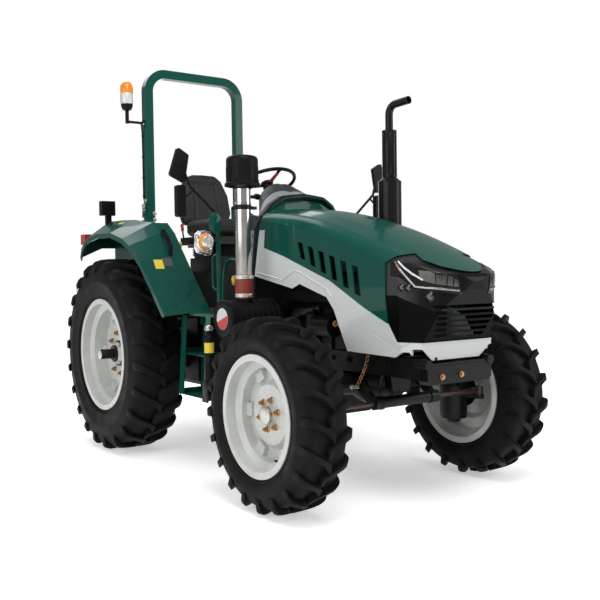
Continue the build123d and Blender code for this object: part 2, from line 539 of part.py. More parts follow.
# columns: x, half width, underside z, shoulder z, crown z
DASH_SECTIONS = [(1040, 138, 1640, 1760, 1872), (1110, 172, 1560, 1752, 1882), (1200, 240, 1480, 1680, 1830),
                 (1290, 296, 1420, 1600, 1762)]
dash = loft([dash_section(*row) for row in DASH_SECTIONS], ruled=True)
dash -= loft([dash_section(x + (20 if x == 1040 else 0), w - 10, base - 1, shoulder - 10, crown - 10)
              for x, w, base, shoulder, crown in DASH_SECTIONS], ruled=True)
cowl += dash - plate_y(arch_front(-20) + [(FAR, 1900), (FAR, HOOD_REAR_Z - 300)], -500, 500)
FIREWALL_X = 1214
cowl += plate_x([(-312, PLATFORM_Z), (-312, 1560), (-230, 1650), (230, 1650), (312, 1560), (312, PLATFORM_Z)],
                FIREWALL_X, FIREWALL_X + 12)
for side in (-1, 1):
    cheek = plate_y([(FIREWALL_X, PLATFORM_Z), (FIREWALL_X, 1560), (1120, 1600), (1130, 1700), (1290, 1640),
                     (1262 - 6, HOOD_REAR_Z), (1230, PLATFORM_Z)], side * 312 - 6, side * 312 + 6)
    cowl += cheek - plate_y(arch_front(-4) + [(FAR, 1900), (FAR, 900)], -500, 500)
    cowl += plate_y([(1272, 1750), (1312, 1758), (1310, 1594), (HINGE_X - 16, 1594),
                     (HINGE_X - 12, HINGE_Z - 4),
                     (HINGE_X - 8, HINGE_Z + 8), (HINGE_X + 8, HINGE_Z + 8), (HINGE_X + 12, HINGE_Z - 4),
                     (HINGE_X + 8, 1570), (1284, 1570)], side * 150 - 6, side * 150 + 6)
    cowl += cyl_y(HINGE_X, HINGE_Z, side * 162 - 14, side * 162 + 10, 6)
NODES["dash_cowl"] = cowl

WHEEL_TILT = 24
COLUMN_TOP = (930, 0, 1905)
tilt = math.radians(WHEEL_TILT)
axis_dir = (-math.sin(tilt), 0, math.cos(tilt))


def along(d):
    return tuple(COLUMN_TOP[i] + axis_dir[i] * d for i in range(3))


NODES["steering_column"] = rod(along(-290), along(-32), 26) - loft(
    [dash_section(*row) for row in DASH_SECTIONS], ruled=True)
wheel_frame = Plane(origin=COLUMN_TOP, z_dir=axis_dir, x_dir=(math.cos(tilt), 0, math.sin(tilt)))
wheel = Torus(198, 13) + Pos(0, 0, -12) * Cylinder(34, 38)
for angle in (90, 210, 330):
    wheel += Rot(0, 0, angle) * Pos(105, 0, -6) * Box(170, 26, 8)
NODES["steering_wheel"] = wheel_frame * wheel

# ---------------------------------------------------------------- platform, fenders, seat
platform = plate_z([(640, -479.5), (964, -479.5), (964, -PLATFORM_Y), (1280, -PLATFORM_Y), (1280, -330),
                    (1240, -330), (1240, 330), (1280, 330), (1280, PLATFORM_Y), (964, PLATFORM_Y),
                    (964, 479.5), (640, 479.5)], PLATFORM_Z - 20, PLATFORM_Z)
platform += box(700, 760, -420, 420, 930, PLATFORM_Z - 20) + box(1130, 1190, -420, 420, 930.3,
                                                                 PLATFORM_Z - 20)
NODES["platform"] = platform

# columns: x and z of the outer lip, x and z of the inner top edge
FENDER_ROWS = [
    (962, 1012, 962, 1030),
    (784, 1196, 790, 1205),
    (605, 1369, 600, 1415),
    (430, 1482, 455, 1572),
    (313, 1535, 345, 1650),
    (101, 1585, 50, 1688),
    (-146, 1588, -190, 1697),
    (-371, 1559, -440, 1700),
    (-470, 1490, -560, 1630),
    (-500, 1420, -600, 1500),
]


def ring(outline, t0, t1):
    """The outline pulled towards the rear axle by t0 and t1, closed into a band."""
    def pulled(p, t):
        x, z = p[0], p[1] - REAR_R
        k = 1 - t / math.hypot(x, z)
        return (x * k, z * k + REAR_R)
    return [pulled(p, t0) for p in outline] + [pulled(p, t1) for p in reversed(outline)]


def side_face(points, y):
    return Plane(origin=(0, y, 0), x_dir=(1, 0, 0), z_dir=(0, -1, 0)) * make_face(
        Polyline(*points, close=True))


outer = [(r[0], r[1]) for r in FENDER_ROWS]
inner = [(r[2], r[3]) for r in FENDER_ROWS]
fender = loft([side_face(ring(inner, 0, SHEET), -FENDER_TOP_Y),
               side_face(ring(outer, 0, SHEET), -FENDER_OUT_Y)], ruled=True)
fender += plate_y(ring(inner, 0, SHEET), -FENDER_TOP_Y, -FENDER_IN_Y)
fender += plate_y(ring(outer, 0, 36), -FENDER_OUT_Y, -FENDER_OUT_Y + SHEET)
fender += plate_y([(962, PLATFORM_Z + SEAT_OFF)] + inner[1:] + [(-600, 1400), (-200, DECK_Z), (420, DECK_Z),
                  (660, PLATFORM_Z + SEAT_OFF)], -FENDER_IN_Y - SHEET, -FENDER_IN_Y)
NODES["fenders"] = both(fender)
fender_body = fender + plate_y([(r[2], r[3]) for r in FENDER_ROWS] + [(-600, 1000), (962, 1000)],
                               -FENDER_TOP_Y, -FENDER_IN_Y)

deck = box(-80, 420, -FENDER_IN_Y + 0.5, FENDER_IN_Y - 0.5, DECK_Z - 12, DECK_Z)
deck += box(408, 420, -FENDER_IN_Y + 0.5, FENDER_IN_Y - 0.5, PLATFORM_Z - 60, DECK_Z)
deck += box(-40, 10, -160, 160, 960, DECK_Z - 12) + box(230, 249, -160, 160, 960, DECK_Z - 12)
deck += box(408, 650, -FENDER_IN_Y + 0.5, FENDER_IN_Y - 0.5, PLATFORM_Z - 60, PLATFORM_Z - 50)
NODES["seat_deck"] = deck
seat_base = box(60, 400, -150, 150, DECK_Z, 1400) + box(90, 370, -130, 130, 1400, 1500)
seat_base += box(-20, 430, -190, 190, 1500, 1559.7)
seat_base += box(-60, 20, -60, 60, 1500, 1700)
seat_base -= Pos(SEAT_BACK_X, 0, 1640) * Rot(0, -SEAT_LEAN, 0) * box(-50 - SEAT_OFF, 200, -260, 260, -60, 400)
NODES["seat_base"] = seat_base
cushion = eased(box(SEAT_BACK_X + 54, 500, -235, 235, 1560, 1692), 34, lambda c: c.Z > 1600)
NODES["seat_cushion"] = cushion
back = plate_x([(-205, 0), (-246, 110), (-232, 262), (-176, 392), (-120, 434), (120, 434), (176, 392),
                (232, 262), (246, 110), (205, 0)], -50, 50)
back = eased(back, 26, lambda c: c.X > 40 or c.X < -40)
NODES["seat_back"] = Pos(SEAT_BACK_X, 0, 1640) * Rot(0, -SEAT_LEAN, 0) * back

# ---------------------------------------------------------------- steps and side tanks
STEP_OUT, STEP_IN, STEP_FOOT = PLATFORM_Y, 470, 480
UNDER_Z = PLATFORM_Z - 20
LEG = 60
# columns: rear corner of a leg at its top and at its foot
LEGS = [(860, 790), (1180, 1130)]
# columns: height of a tread, rear end, front end
TREADS = [(STEP_FOOT, 790, 1190), (STEP_FOOT + 272, 826, 1216)]
steps = None
for top_x, foot_x in LEGS:
    for y in (-STEP_OUT, -STEP_IN - SHEET):
        leg = plate_y([(top_x, UNDER_Z), (top_x + LEG, UNDER_Z), (foot_x + LEG, STEP_FOOT),
                       (foot_x, STEP_FOOT)],
                      y, y + SHEET)
        steps = leg if steps is None else steps + leg
for z, x0, x1 in TREADS:
    steps += box(x0, x1, -STEP_OUT, -STEP_IN, z, z + 5)
    for x in (x0, x1 - 5):
        steps += box(x, x + 5, -STEP_OUT, -STEP_IN, z, z + 34)
    for i in range(5):
        y = -STEP_OUT + 26 + 28 * i
        steps -= box(x0 + 30, x1 - 30, y - 7, y + 7, z - 1, z + 6)
NODES["steps"] = both(steps)
tank = box(780, 1140, -455, -HOUSING_RIB_Y - SEAT_OFF, 560, 900)
tank = eased(tank, 30, lambda e: abs(e.Y - tank.center().Y) < 1)
NODES["fuel_tanks"] = both(tank)

# ---------------------------------------------------------------- breathing and exhaust
CLEANER_X, CLEANER_Z, CLEANER_R = STACK_X - 10, 1005, 117
ribs = [(-250, 0), (-250, CLEANER_R - 20), (-268, CLEANER_R - 8)]
for i in range(8):
    y = -290 - 40 * i
    ribs += [(y, CLEANER_R - 8), (y - 4, CLEANER_R), (y - 14, CLEANER_R), (y - 18, CLEANER_R - 8)]
ribs += [(-640, CLEANER_R - 8), (-650, CLEANER_R - 18), (-650, 0)]
air_cleaner = turned(ribs, CLEANER_X, CLEANER_Z)
air_cleaner += box(CLEANER_X - 30, CLEANER_X + 30, -260, -150.3, 960, 1040)
air_cleaner += cyl_z(STACK_X, STACK_Y, 1080, 1125, 52)
NODES["air_cleaner"] = air_cleaner
NODES["intake_stack"] = stack(STACK_X, STACK_Y,
                              [(0, 1125.3), (58, 1125.3), (58, 1200), (50, 1200), (50, 1800),
                                                 (0, 1800)])
NODES["precleaner"] = stack(STACK_X, STACK_Y,
                            [(0, 1800.3), (60, 1800.3), (84, 1812), (110, 1820), (110, 1836),
                                               (98, 1842), (98, 1975), (92, 1992), (70, 2003), (0, 2008)])
exhaust = stack(MUFFLER_X, MUFFLER_Y, [(0, 1212), (30, 1212), (75, 1225), (75, 1862), (45, 1888), (45, 2190),
                                       (0, 2190)])
exhaust += bent_rod([(MUFFLER_X, MANIFOLD_Y + SEAT_OFF, 1132), (MUFFLER_X, MUFFLER_Y, 1132),
                     (MUFFLER_X, MUFFLER_Y, 1214)], 70, 26)
tail = bent_rod([(MUFFLER_X, MUFFLER_Y, 2188), (MUFFLER_X, MUFFLER_Y, 2350),
                 (MUFFLER_X + 172, MUFFLER_Y + 16, 2362)], 60, 25)
tail -= bent_rod([(MUFFLER_X, MUFFLER_Y, 2230), (MUFFLER_X, MUFFLER_Y, 2350),
                  (MUFFLER_X + 174, MUFFLER_Y + 16, 2362)], 60, 22)
exhaust += tail
NODES["exhaust"] = exhaust

# ---------------------------------------------------------------- roll bar, beacon, lamps
H = ROPS_TUBE / 2
post = box(ROPS_X - H, ROPS_X + H, -ROPS_Y - H, -ROPS_Y + H, REAR_R + 110, ROPS_FOLD_Z)
post += box(ROPS_X - 90, ROPS_X + 90, -ROPS_Y - 60, -ROPS_Y + 60, REAR_R + 100, REAR_R + 120) - cyl_y(
    0, REAR_R, -600, -200, ROPS_SEAT_R + SEAT_OFF)
FOLD_X, FOLD_Z = ROPS_X - H - 16, ROPS_FOLD_Z + 11
for y0, y1 in ((-ROPS_Y - H, -ROPS_Y - 12), (-ROPS_Y + 12, -ROPS_Y + H)):
    post += box(ROPS_X - H - 31, ROPS_X - H, y0, y1, ROPS_FOLD_Z - 80, ROPS_FOLD_Z - 2)
    post += box(ROPS_X - H - 31, ROPS_X - H - 1, y0, y1, ROPS_FOLD_Z - 80, FOLD_Z)
    post += cyl_y(FOLD_X, FOLD_Z, y0, y1, 15)
post += cyl_y(FOLD_X, FOLD_Z, -ROPS_Y - H - 6, -ROPS_Y + H + 6, 8)
NODES["rops_base"] = both(post)

R, Q = ROPS_BEND, ROPS_BEND - ROPS_TUBE
yo, yi = ROPS_Y + H, ROPS_Y - H
hoop_face = make_face([
    Line((-yo, ROPS_FOLD_Z + SEAT_OFF), (-yo, ROPS_TOP_Z - R)),
    ThreePointArc((-yo, ROPS_TOP_Z - R),
                  (-yo + R * (1 - math.sqrt(0.5)), ROPS_TOP_Z - R * (1 - math.sqrt(0.5))),
                  (-yo + R, ROPS_TOP_Z)),
    Line((-yo + R, ROPS_TOP_Z), (yo - R, ROPS_TOP_Z)),
    ThreePointArc((yo - R, ROPS_TOP_Z),
                  (yo - R * (1 - math.sqrt(0.5)), ROPS_TOP_Z - R * (1 - math.sqrt(0.5))),
                  (yo, ROPS_TOP_Z - R)),
    Line((yo, ROPS_TOP_Z - R), (yo, ROPS_FOLD_Z + SEAT_OFF)),
    Line((yo, ROPS_FOLD_Z + SEAT_OFF), (yi, ROPS_FOLD_Z + SEAT_OFF)),
    Line((yi, ROPS_FOLD_Z + SEAT_OFF), (yi, ROPS_TOP_Z - R)),
    ThreePointArc((yi, ROPS_TOP_Z - R), (yi - Q * (1 - math.sqrt(0.5)), ROPS_TOP_Z - R + Q * math.sqrt(0.5)),
                  (yi - Q, ROPS_TOP_Z - ROPS_TUBE)),
    Line((yi - Q, ROPS_TOP_Z - ROPS_TUBE), (-yi + Q, ROPS_TOP_Z - ROPS_TUBE)),
    ThreePointArc((-yi + Q, ROPS_TOP_Z - ROPS_TUBE),
                  (-yi + Q * (1 - math.sqrt(0.5)), ROPS_TOP_Z - R + Q * math.sqrt(0.5)),
                  (-yi, ROPS_TOP_Z - R)),
    Line((-yi, ROPS_TOP_Z - R), (-yi, ROPS_FOLD_Z + SEAT_OFF)),
    Line((-yi, ROPS_FOLD_Z + SEAT_OFF), (-yo, ROPS_FOLD_Z + SEAT_OFF)),
])
hoop = extrude(Plane(origin=(ROPS_X - H, 0, 0), x_dir=(0, 1, 0), z_dir=(1, 0, 0)) * hoop_face,
               amount=ROPS_TUBE)
for side in (-1, 1):
    hoop += box(ROPS_X - H - 26, ROPS_X - H + 1, side * ROPS_Y - 11, side * ROPS_Y + 11,
                ROPS_FOLD_Z + SEAT_OFF,
                ROPS_FOLD_Z + 60)
hoop -= cyl_y(FOLD_X, FOLD_Z, -ROPS_Y - 40, ROPS_Y + 40, 8 + FIT / 2)
NODES["rops_hoop"] = hoop
beacon_z = ROPS_TOP_Z - BEACON_DROP
beacon = rod((ROPS_X, -ROPS_Y - H - SEAT_OFF, beacon_z), (ROPS_X, BEACON_Y, beacon_z), 10)
beacon += stack(ROPS_X, BEACON_Y, [(0, beacon_z - 14), (14, beacon_z - 14), (14, beacon_z + 80),
                                   (34, beacon_z + 88), (47, beacon_z + 128), (49, beacon_z + 210),
                                   (46, beacon_z + 213), (46, beacon_z + 262), (38, beacon_z + 290),
                                   (22, beacon_z + 301), (0, beacon_z + 303)])
NODES["beacon"] = beacon
work_lamp = box(-440, -380, -680, -570, 1745, 1858) + box(-424, -396, -640, -596, 1660, 1746) - fender
NODES["work_lamps"] = both(work_lamp.solids().sort_by(SortBy.VOLUME)[-1])
tail_lamp = (box(-560, -470, -790, -730, 1520, 1600) - fender).solids().sort_by(Axis.X)[0]
NODES["tail_lamps"] = both(tail_lamp)

# ---------------------------------------------------------------- lamp posts, mirrors, handles
POST_TOP = 1610
lamp_post = cyl_z(POST_X, -POST_Y, PLATFORM_Z + SEAT_OFF, POST_TOP, 15)
lamp_post += cyl_z(POST_X, -POST_Y, PLATFORM_Z + SEAT_OFF, PLATFORM_Z + 12, 32)
lamp_post += bent_rod([(POST_X, -POST_Y, 1400), (POST_X - 60, -POST_Y - 10, 1400),
                       (POST_X - 60, -POST_Y - 10, 1180),
                       (POST_X, -POST_Y, 1180)], 30, 8)
NODES["lamp_posts"] = both(lamp_post)
LAMP_Z = 1476
lamp = Plane(origin=(POST_X - 20, -POST_Y - 105, LAMP_Z), x_dir=(0, 0, 1), z_dir=(1, 0, 0)) * extrude(
    SlotOverall(159, 90), amount=56)
lamp = eased(lamp, 12, lambda e: e.X > POST_X + 35)
lamp += rod((POST_X, -POST_Y - 15 - SEAT_OFF, LAMP_Z), (POST_X, -POST_Y - 70, LAMP_Z), 11)
NODES["turn_lamps"] = both(lamp)

# columns: y and z of a corner of the big mirror, seen from the front
MIRROR = [(-822, 2065), (-745, 2020), (-776, 1843), (-878, 1891)]
mirror_glass = eased(plate_x(MIRROR, POST_X - 24, POST_X + 4), 14, lambda e: abs(e.X - POST_X + 10) < 1)
mirror_glass += eased(box(POST_X - 34, POST_X + 4, -833, -771, 1636, 1832), 14,
                      lambda e: abs(e.X - POST_X + 15) < 1)
mirror_glass += bent_rod([(POST_X, -POST_Y, POST_TOP + SEAT_OFF), (POST_X, -POST_Y, POST_TOP + 40),
                          (POST_X - 2, -745, 1832), (POST_X - 8, -790, 1960)], 24, 9)
mirror_glass += rod((POST_X - 2, -720, 1802), (POST_X - 12, -800, 1740), 7)
NODES["mirrors"] = both(mirror_glass)
grip = FilletPolyline((492, -590, 1520), (492, -590, 1612), (604, -590, 1470), (596, -590, 1400), radius=18)
handle = sweep(Plane(origin=grip @ 0, z_dir=grip % 0) * Circle(9), grip)
handle = (handle - fender_body).solids().sort_by(SortBy.VOLUME)[-1]
NODES["grab_handles"] = both(handle)

# ---------------------------------------------------------------- rear linkage
link_y0, link_y1 = 225, 400
arm = rod((LINK_PIVOT[0] - 22, -link_y0 - 4.5, LINK_PIVOT[1]),
          (LINK_EYE[0] + 25, -link_y1 + 5, LINK_EYE[1]), 22)
arm += cyl_y(LINK_EYE[0], LINK_EYE[1], -link_y1 - 22, -link_y1 + 22, LINK_EYE_R + 14)
arm += cyl_y(LINK_PIVOT[0], LINK_PIVOT[1], -link_y0 - 18, -link_y0 + 18, 34)
arm -= cyl_y(LINK_EYE[0], LINK_EYE[1], -link_y1 - 30, -link_y1 + 30, 14.35)
arm -= cyl_y(LINK_PIVOT[0], LINK_PIVOT[1], -link_y0 - 30, -link_y0 + 30, 13)
NODES["lower_link_right"], NODES["lower_link_left"] = arm, left_of(arm)
NODES["link_pins"] = both(cyl_y(LINK_PIVOT[0], LINK_PIVOT[1], -250, -205.3, 12.5))

LIFT_Y = 250
lift = cyl_y(LIFT_SHAFT[0], LIFT_SHAFT[1], -LIFT_Y - 16, -150.5, 34)
lift += plate_y([(LIFT_SHAFT[0] + 30, LIFT_SHAFT[1] - 45), (LIFT_SHAFT[0] + 30, LIFT_SHAFT[1] + 45),
                 (LIFT_ARM_END[0] - 20, LIFT_ARM_END[1] + 24), (LIFT_ARM_END[0] - 20, LIFT_ARM_END[1] - 24)],
                -LIFT_Y - 14, -LIFT_Y + 14)
NODES["lift_arms"] = both(lift)
hanger = rod((LIFT_ARM_END[0], -LIFT_Y - 40, LIFT_ARM_END[1]),
             (LIFT_ROD_FOOT[0], -LIFT_Y - 58, LIFT_ROD_FOOT[1] + 60), 15)
hanger += cyl_y(LIFT_ARM_END[0], LIFT_ARM_END[1], -LIFT_Y - 56, -LIFT_Y - 14.5, 26)
hanger += box(LIFT_ROD_FOOT[0] - 24, LIFT_ROD_FOOT[0] + 24, -LIFT_Y - 100, -LIFT_Y - 30, 580, 604)
hanger += box(LIFT_ROD_FOOT[0] - 24, LIFT_ROD_FOOT[0] + 24, -LIFT_Y - 100, -LIFT_Y - 92, 500, 604)
NODES["lift_rods"] = both(hanger)
pin_x, pin_z = TOP_LINK_PIN
ball_x, ball_z = pin_x - 434, pin_z + 330
top_link = rod((pin_x, 0, pin_z), (ball_x, 0, ball_z), 14)
top_link += rod((pin_x - 130, 0, pin_z + 99), (pin_x - 320, 0, pin_z + 243), 21)
top_link += cyl_y(pin_x, pin_z, -21, 21, 27) + cyl_y(ball_x, ball_z, -22, 22, 32)
top_link -= cyl_y(pin_x, pin_z, -30, 30, 12.85) + cyl_y(ball_x, ball_z, -30, 30, 12.85)
NODES["top_link"] = top_link
drawbar = box(-620, 100, -38, 38, 400, 430) + box(-300, -240, -90, 90, 430, 469.7)
drawbar += box(60, 100, -60, 60, 430, 469.7)
drawbar -= cyl_z(-585, 0, 390, 440, 15)
NODES["drawbar"] = drawbar

# ---------------------------------------------------------------- export
SHIFT = -(NOSE_X + REAR_END_X) / 2
os.makedirs("parts", exist_ok=True)
for name, part in NODES.items():
    export_step(Pos(SHIFT, 0, 0) * part, f"parts/{name}.step")
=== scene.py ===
import bpy
import math
from mathutils import Matrix, Vector


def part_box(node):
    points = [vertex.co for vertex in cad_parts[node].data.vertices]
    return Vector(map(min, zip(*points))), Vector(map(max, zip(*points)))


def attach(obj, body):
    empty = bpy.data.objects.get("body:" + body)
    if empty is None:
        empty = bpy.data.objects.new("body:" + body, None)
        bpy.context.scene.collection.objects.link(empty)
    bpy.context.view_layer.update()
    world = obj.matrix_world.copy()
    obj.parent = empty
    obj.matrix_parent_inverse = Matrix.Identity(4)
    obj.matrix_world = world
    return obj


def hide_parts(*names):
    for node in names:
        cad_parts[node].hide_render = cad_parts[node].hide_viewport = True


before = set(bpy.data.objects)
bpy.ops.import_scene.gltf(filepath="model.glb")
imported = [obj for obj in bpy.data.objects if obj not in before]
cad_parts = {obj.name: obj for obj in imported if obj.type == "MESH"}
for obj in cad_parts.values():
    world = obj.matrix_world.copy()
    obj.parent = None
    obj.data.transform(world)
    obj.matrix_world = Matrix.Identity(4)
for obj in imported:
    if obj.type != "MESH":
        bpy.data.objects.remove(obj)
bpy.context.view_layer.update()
scene = bpy.context.scene


# ------------------------------------------------------------------ places taken from the CAD parts
def middle(node):
    low, high = (Vector(corner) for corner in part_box(node))
    return (low + high) / 2


def low(node):
    return Vector(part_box(node)[0])


def high(node):
    return Vector(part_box(node)[1])


AXLE_X = middle("tyre_rear_right").x     # the rear axle, from which the tractor's own x is counted
WHEELS = ("front_right", "front_left", "rear_right", "rear_left")
SIDES = (-1, 1)              # right, left


def at(x, y, z):
    """A place counted from the rear axle, in metres."""
    return Vector((x + AXLE_X, y, z))


# ------------------------------------------------------------------ modelling helpers
def leave_edit():
    if bpy.context.object and bpy.context.object.mode != "OBJECT":
        bpy.ops.object.mode_set(mode="OBJECT")


def choose(*objs):
    """Only these objects are selected, the first one active."""
    leave_edit()
    bpy.ops.object.select_all(action="DESELECT")
    for obj in objs:
        obj.select_set(True)
    bpy.context.view_layer.objects.active = objs[0]


def enter_edit(obj, mode="FACE"):
    choose(obj)
    bpy.ops.object.mode_set(mode="EDIT")
    bpy.ops.mesh.select_mode(type=mode)
    bpy.ops.mesh.select_all(action="SELECT")


def settle(obj):
    """Puts the object's place, turn and scale into its mesh."""
    choose(obj)
    bpy.ops.object.transform_apply(location=True, rotation=True, scale=True)
    return obj


def started(name):
    obj = bpy.context.object
    obj.name = name
    obj.data.name = name
    return obj


def apply_modifiers(obj):
    choose(obj)
    for modifier in list(obj.modifiers):
        bpy.ops.object.modifier_apply(modifier=modifier.name)
    return obj


def outward(obj):
    enter_edit(obj)
    bpy.ops.mesh.remove_doubles(threshold=1e-5)
    bpy.ops.mesh.normals_make_consistent(inside=False)
    leave_edit()
    return obj


def smooth(obj, degrees=32):
    choose(obj)
    bpy.ops.object.shade_smooth_by_angle(angle=math.radians(degrees))
    return obj


def bevelled(obj, width, segments=2, degrees=32, soft=40):
    modifier = obj.modifiers.new("edge", "BEVEL")
    modifier.width = width
    modifier.segments = segments
    modifier.limit_method = "ANGLE"
    modifier.angle_limit = math.radians(degrees)
    apply_modifiers(obj)
    return smooth(obj, soft)


def subdivided(obj):
    modifier = obj.modifiers.new("subdivision", "SUBSURF")
    modifier.levels = 1
    return apply_modifiers(obj)


def copied(obj, name, matrix):
    twin = obj.copy()
    twin.data = obj.data.copy()
    twin.name = name
    twin.data.name = name
    twin.data.transform(matrix)
    if matrix.determinant() < 0:
        twin.data.flip_normals()
    scene.collection.objects.link(twin)
    return twin


def joined(name, objs):
    """One object from several, the first one's material slots first."""
    choose(*objs)
    if len(objs) > 1:
        bpy.ops.object.join()
    return started(name)


def mirrored(obj, name):
    """The left-hand twin of a right-hand piece."""
    return copied(obj, name, Matrix.Diagonal((1, -1, 1, 1)))


def facing(axis, place, roll=0.0):
    """The matrix that carries local +Z to the axis and the origin to the place."""
    axis = Vector(axis).normalized()
    turn = axis.to_track_quat("Z", "Y").to_matrix().to_4x4()
    return Matrix.Translation(place) @ turn @ Matrix.Rotation(roll, 4, "Z")


def turned(name, profile, place, axis=(0, 0, 1), sides=48, closed=False, degrees=32):
    """A ring is drawn out along its axis and scaled at each (radius, height) of the profile."""
    bpy.ops.mesh.primitive_circle_add(vertices=sides, radius=profile[0][0], location=(0, 0, profile[0][1]),
        fill_type="NOTHING" if closed else "NGON")
    obj = settle(started(name))
    enter_edit(obj, mode="EDGE" if closed else "FACE")
    here = profile[0]
    extrude = bpy.ops.mesh.extrude_edges_move if closed else bpy.ops.mesh.extrude_region_move
    for radius, height in profile[1:] + ([profile[0]] if closed else []):
        extrude(TRANSFORM_OT_translate={"value": (0, 0, height - here[1])})
        k = radius / here[0]
        bpy.ops.transform.resize(value=(k, k, 1), center_override=(0, 0, height))
        here = (radius, height)
    leave_edit()
    outward(obj)
    obj.data.transform(facing(axis, place))
    return smooth(obj, degrees)


def posed(place, degrees, axis="Y"):
    """The matrix that turns a piece about an axis and carries it to the place."""
    return Matrix.Translation(place) @ Matrix.Rotation(math.radians(degrees), 4, axis)


def wheel_point(degrees, radius, y=0.0):
    """A point at this angle of a circle about a wheel's axis."""
    turn = math.radians(degrees)
    return Vector((math.cos(turn) * radius, y, math.sin(turn) * radius))


def around(obj, place, count, first=0):
    """Copies of a piece in a ring about an upright axis, in its stead."""
    ring = []
    for i in range(count):
        ring.append(copied(obj, f"{obj.name}_{i}", posed(place, first + 360 / count * i, "Z")))
    bpy.data.objects.remove(obj)
    return ring


def upright(name, x, outline, depth, bevel):
    """A plate that stands across the tractor, from an outline of (y, z)."""
    return plate(name, [at(x, y, z) for y, z in outline], (depth, 0, 0), bevel)


def rod(name, start, end, radius, sides=20, bevel=0.0015):
    start, end = Vector(start), Vector(end)
    length = (end - start).length
    ease = min(bevel, radius * 0.3)
    return turned(name, [(radius - ease, 0), (radius, ease), (radius, length - ease),
        (radius - ease, length)], start, end - start, sides)


def block(name, lower, upper, bevel=0.004, segments=2):
    lower, upper = Vector(lower), Vector(upper)
    bpy.ops.mesh.primitive_cube_add(size=1, location=(lower + upper) / 2, scale=upper - lower)
    obj = settle(started(name))
    return bevelled(obj, bevel, segments)


def outline_face(name, points):
    """A filled ring whose points are drawn to the outline."""
    bpy.ops.mesh.primitive_circle_add(vertices=len(points), radius=1, fill_type="NGON")
    obj = settle(started(name))
    for vertex, point in zip(obj.data.vertices, points):
        vertex.co = point
    return obj


def plate(name, points, depth, bevel=0.002, segments=2):
    """An outline drawn out by the vector depth."""
    obj = outline_face(name, points)
    enter_edit(obj)
    bpy.ops.mesh.extrude_region_move(TRANSFORM_OT_translate={"value": tuple(depth)})
    leave_edit()
    outward(obj)
    return bevelled(obj, bevel, segments) if bevel else obj


def skin(name, rows):
    """A grid whose points are drawn to rows of places."""
    across, along = len(rows[0]), len(rows)
    bpy.ops.mesh.primitive_grid_add(x_subdivisions=across - 1, y_subdivisions=along - 1, size=2)
    obj = settle(started(name))
    for j, row in enumerate(rows):
        for i, point in enumerate(row):
            obj.data.vertices[j * across + i].co = point
    return obj


def thickened(obj, thickness, offset=-1.0):
    modifier = obj.modifiers.new("wall", "SOLIDIFY")
    modifier.thickness = thickness
    modifier.offset = offset
    return apply_modifiers(obj)


def hose(name, points, radius, sides=6, steps=8):
    """A bent tube along the soft curve of points that are counted from the rear axle."""
    curve = bpy.data.curves.new(name, "CURVE")
    curve.dimensions = "3D"
    curve.bevel_depth = radius
    curve.bevel_resolution = sides
    curve.use_fill_caps = True
    curve.resolution_u = steps
    spline = curve.splines.new("NURBS")
    spline.points.add(len(points) - 1)
    for control, point in zip(spline.points, points):
        control.co = (*at(*point), 1)
    spline.order_u = 3
    spline.use_endpoint_u = True
    obj = bpy.data.objects.new(name, curve)
    scene.collection.objects.link(obj)
    choose(obj)
    bpy.ops.object.convert(target="MESH")
    return smooth(started(name), 60)


def hex_bolt(name, place, axis, size=0.011, height=0.009):
    """A bolt head on its washer."""
    washer = turned(name + "_washer", [(size * 1.45, 0), (size * 1.5, 0.001), (size * 1.45, 0.002)], place,
        axis, 20)
    bpy.ops.mesh.primitive_cylinder_add(vertices=6, radius=size, depth=height)
    head = settle(started(name))
    head.data.transform(Matrix.Translation((0, 0, height / 2 + 0.002)))
    bevelled(head, size * 0.1, 2)
    head.data.transform(facing(axis, place))
    return joined(name, [head, washer])


def colored(obj, material):
    """Gives a piece one finish alone."""
    obj.data.materials.clear()
    obj.data.materials.append(material)
    return obj


def dressed(obj, material, slot, *nodes, body="chassis"):
    """Gives a finished piece its finish, its body and the nodes that it stands for."""
    if material:
        colored(obj, material)
    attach(obj, body)
    if nodes:
        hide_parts(*nodes)
    return obj


def both_hands(obj, material, slot, body="chassis", left=""):
    """Dresses a right-hand piece and its left-hand twin."""
    dressed(mirrored(obj, left or obj.name + "_left"), material, slot, body=body)
    dressed(obj, material, slot, body=body)


# ------------------------------------------------------------------ shared surface effects
def node_group(name, inputs, outputs):
    """An empty shader group with float or colour sockets, its input node and its output node."""
    group = bpy.data.node_groups.new(name, "ShaderNodeTree")
    for label, kind, default in inputs:
        socket = group.interface.new_socket(name=label, in_out="INPUT", socket_type=kind)
        socket.default_value = default
    for label, kind in outputs:
        group.interface.new_socket(name=label, in_out="OUTPUT", socket_type=kind)
    return group, group.nodes.new("NodeGroupInput"), group.nodes.new("NodeGroupOutput")


def add(tree, kind, **values):
    node = tree.nodes.new("ShaderNode" + kind)
    for label, value in values.items():
        setattr(node, label, value)
    return node


def noise(tree, scale, detail=3.0, roughness=0.5, vector=None):
    node = add(tree, "TexNoise")
    node.inputs["Detail"].default_value = detail
    node.inputs["Roughness"].default_value = roughness
    if isinstance(scale, (int, float)):
        node.inputs["Scale"].default_value = scale
    else:
        tree.links.new(scale, node.inputs["Scale"])
    place = vector if vector is not None else tree_place(tree)
    tree.links.new(place, node.inputs["Vector"])
    return node


def tree_place(tree):
    for node in tree.nodes:
        if node.bl_idname == "ShaderNodeTexCoord":
            return node.outputs["Object"]
    return add(tree, "TexCoord").outputs["Object"]


def ramp(tree, value, low_end, high_end, to_low=0.0, to_high=1.0):
    node = add(tree, "MapRange")
    node.clamp = True
    for label, number in (("From Min", low_end), ("From Max", high_end), ("To Min", to_low),
            ("To Max", to_high)):
        node.inputs[label].default_value = number
    tree.links.new(value, node.inputs["Value"])
    return node.outputs["Result"]


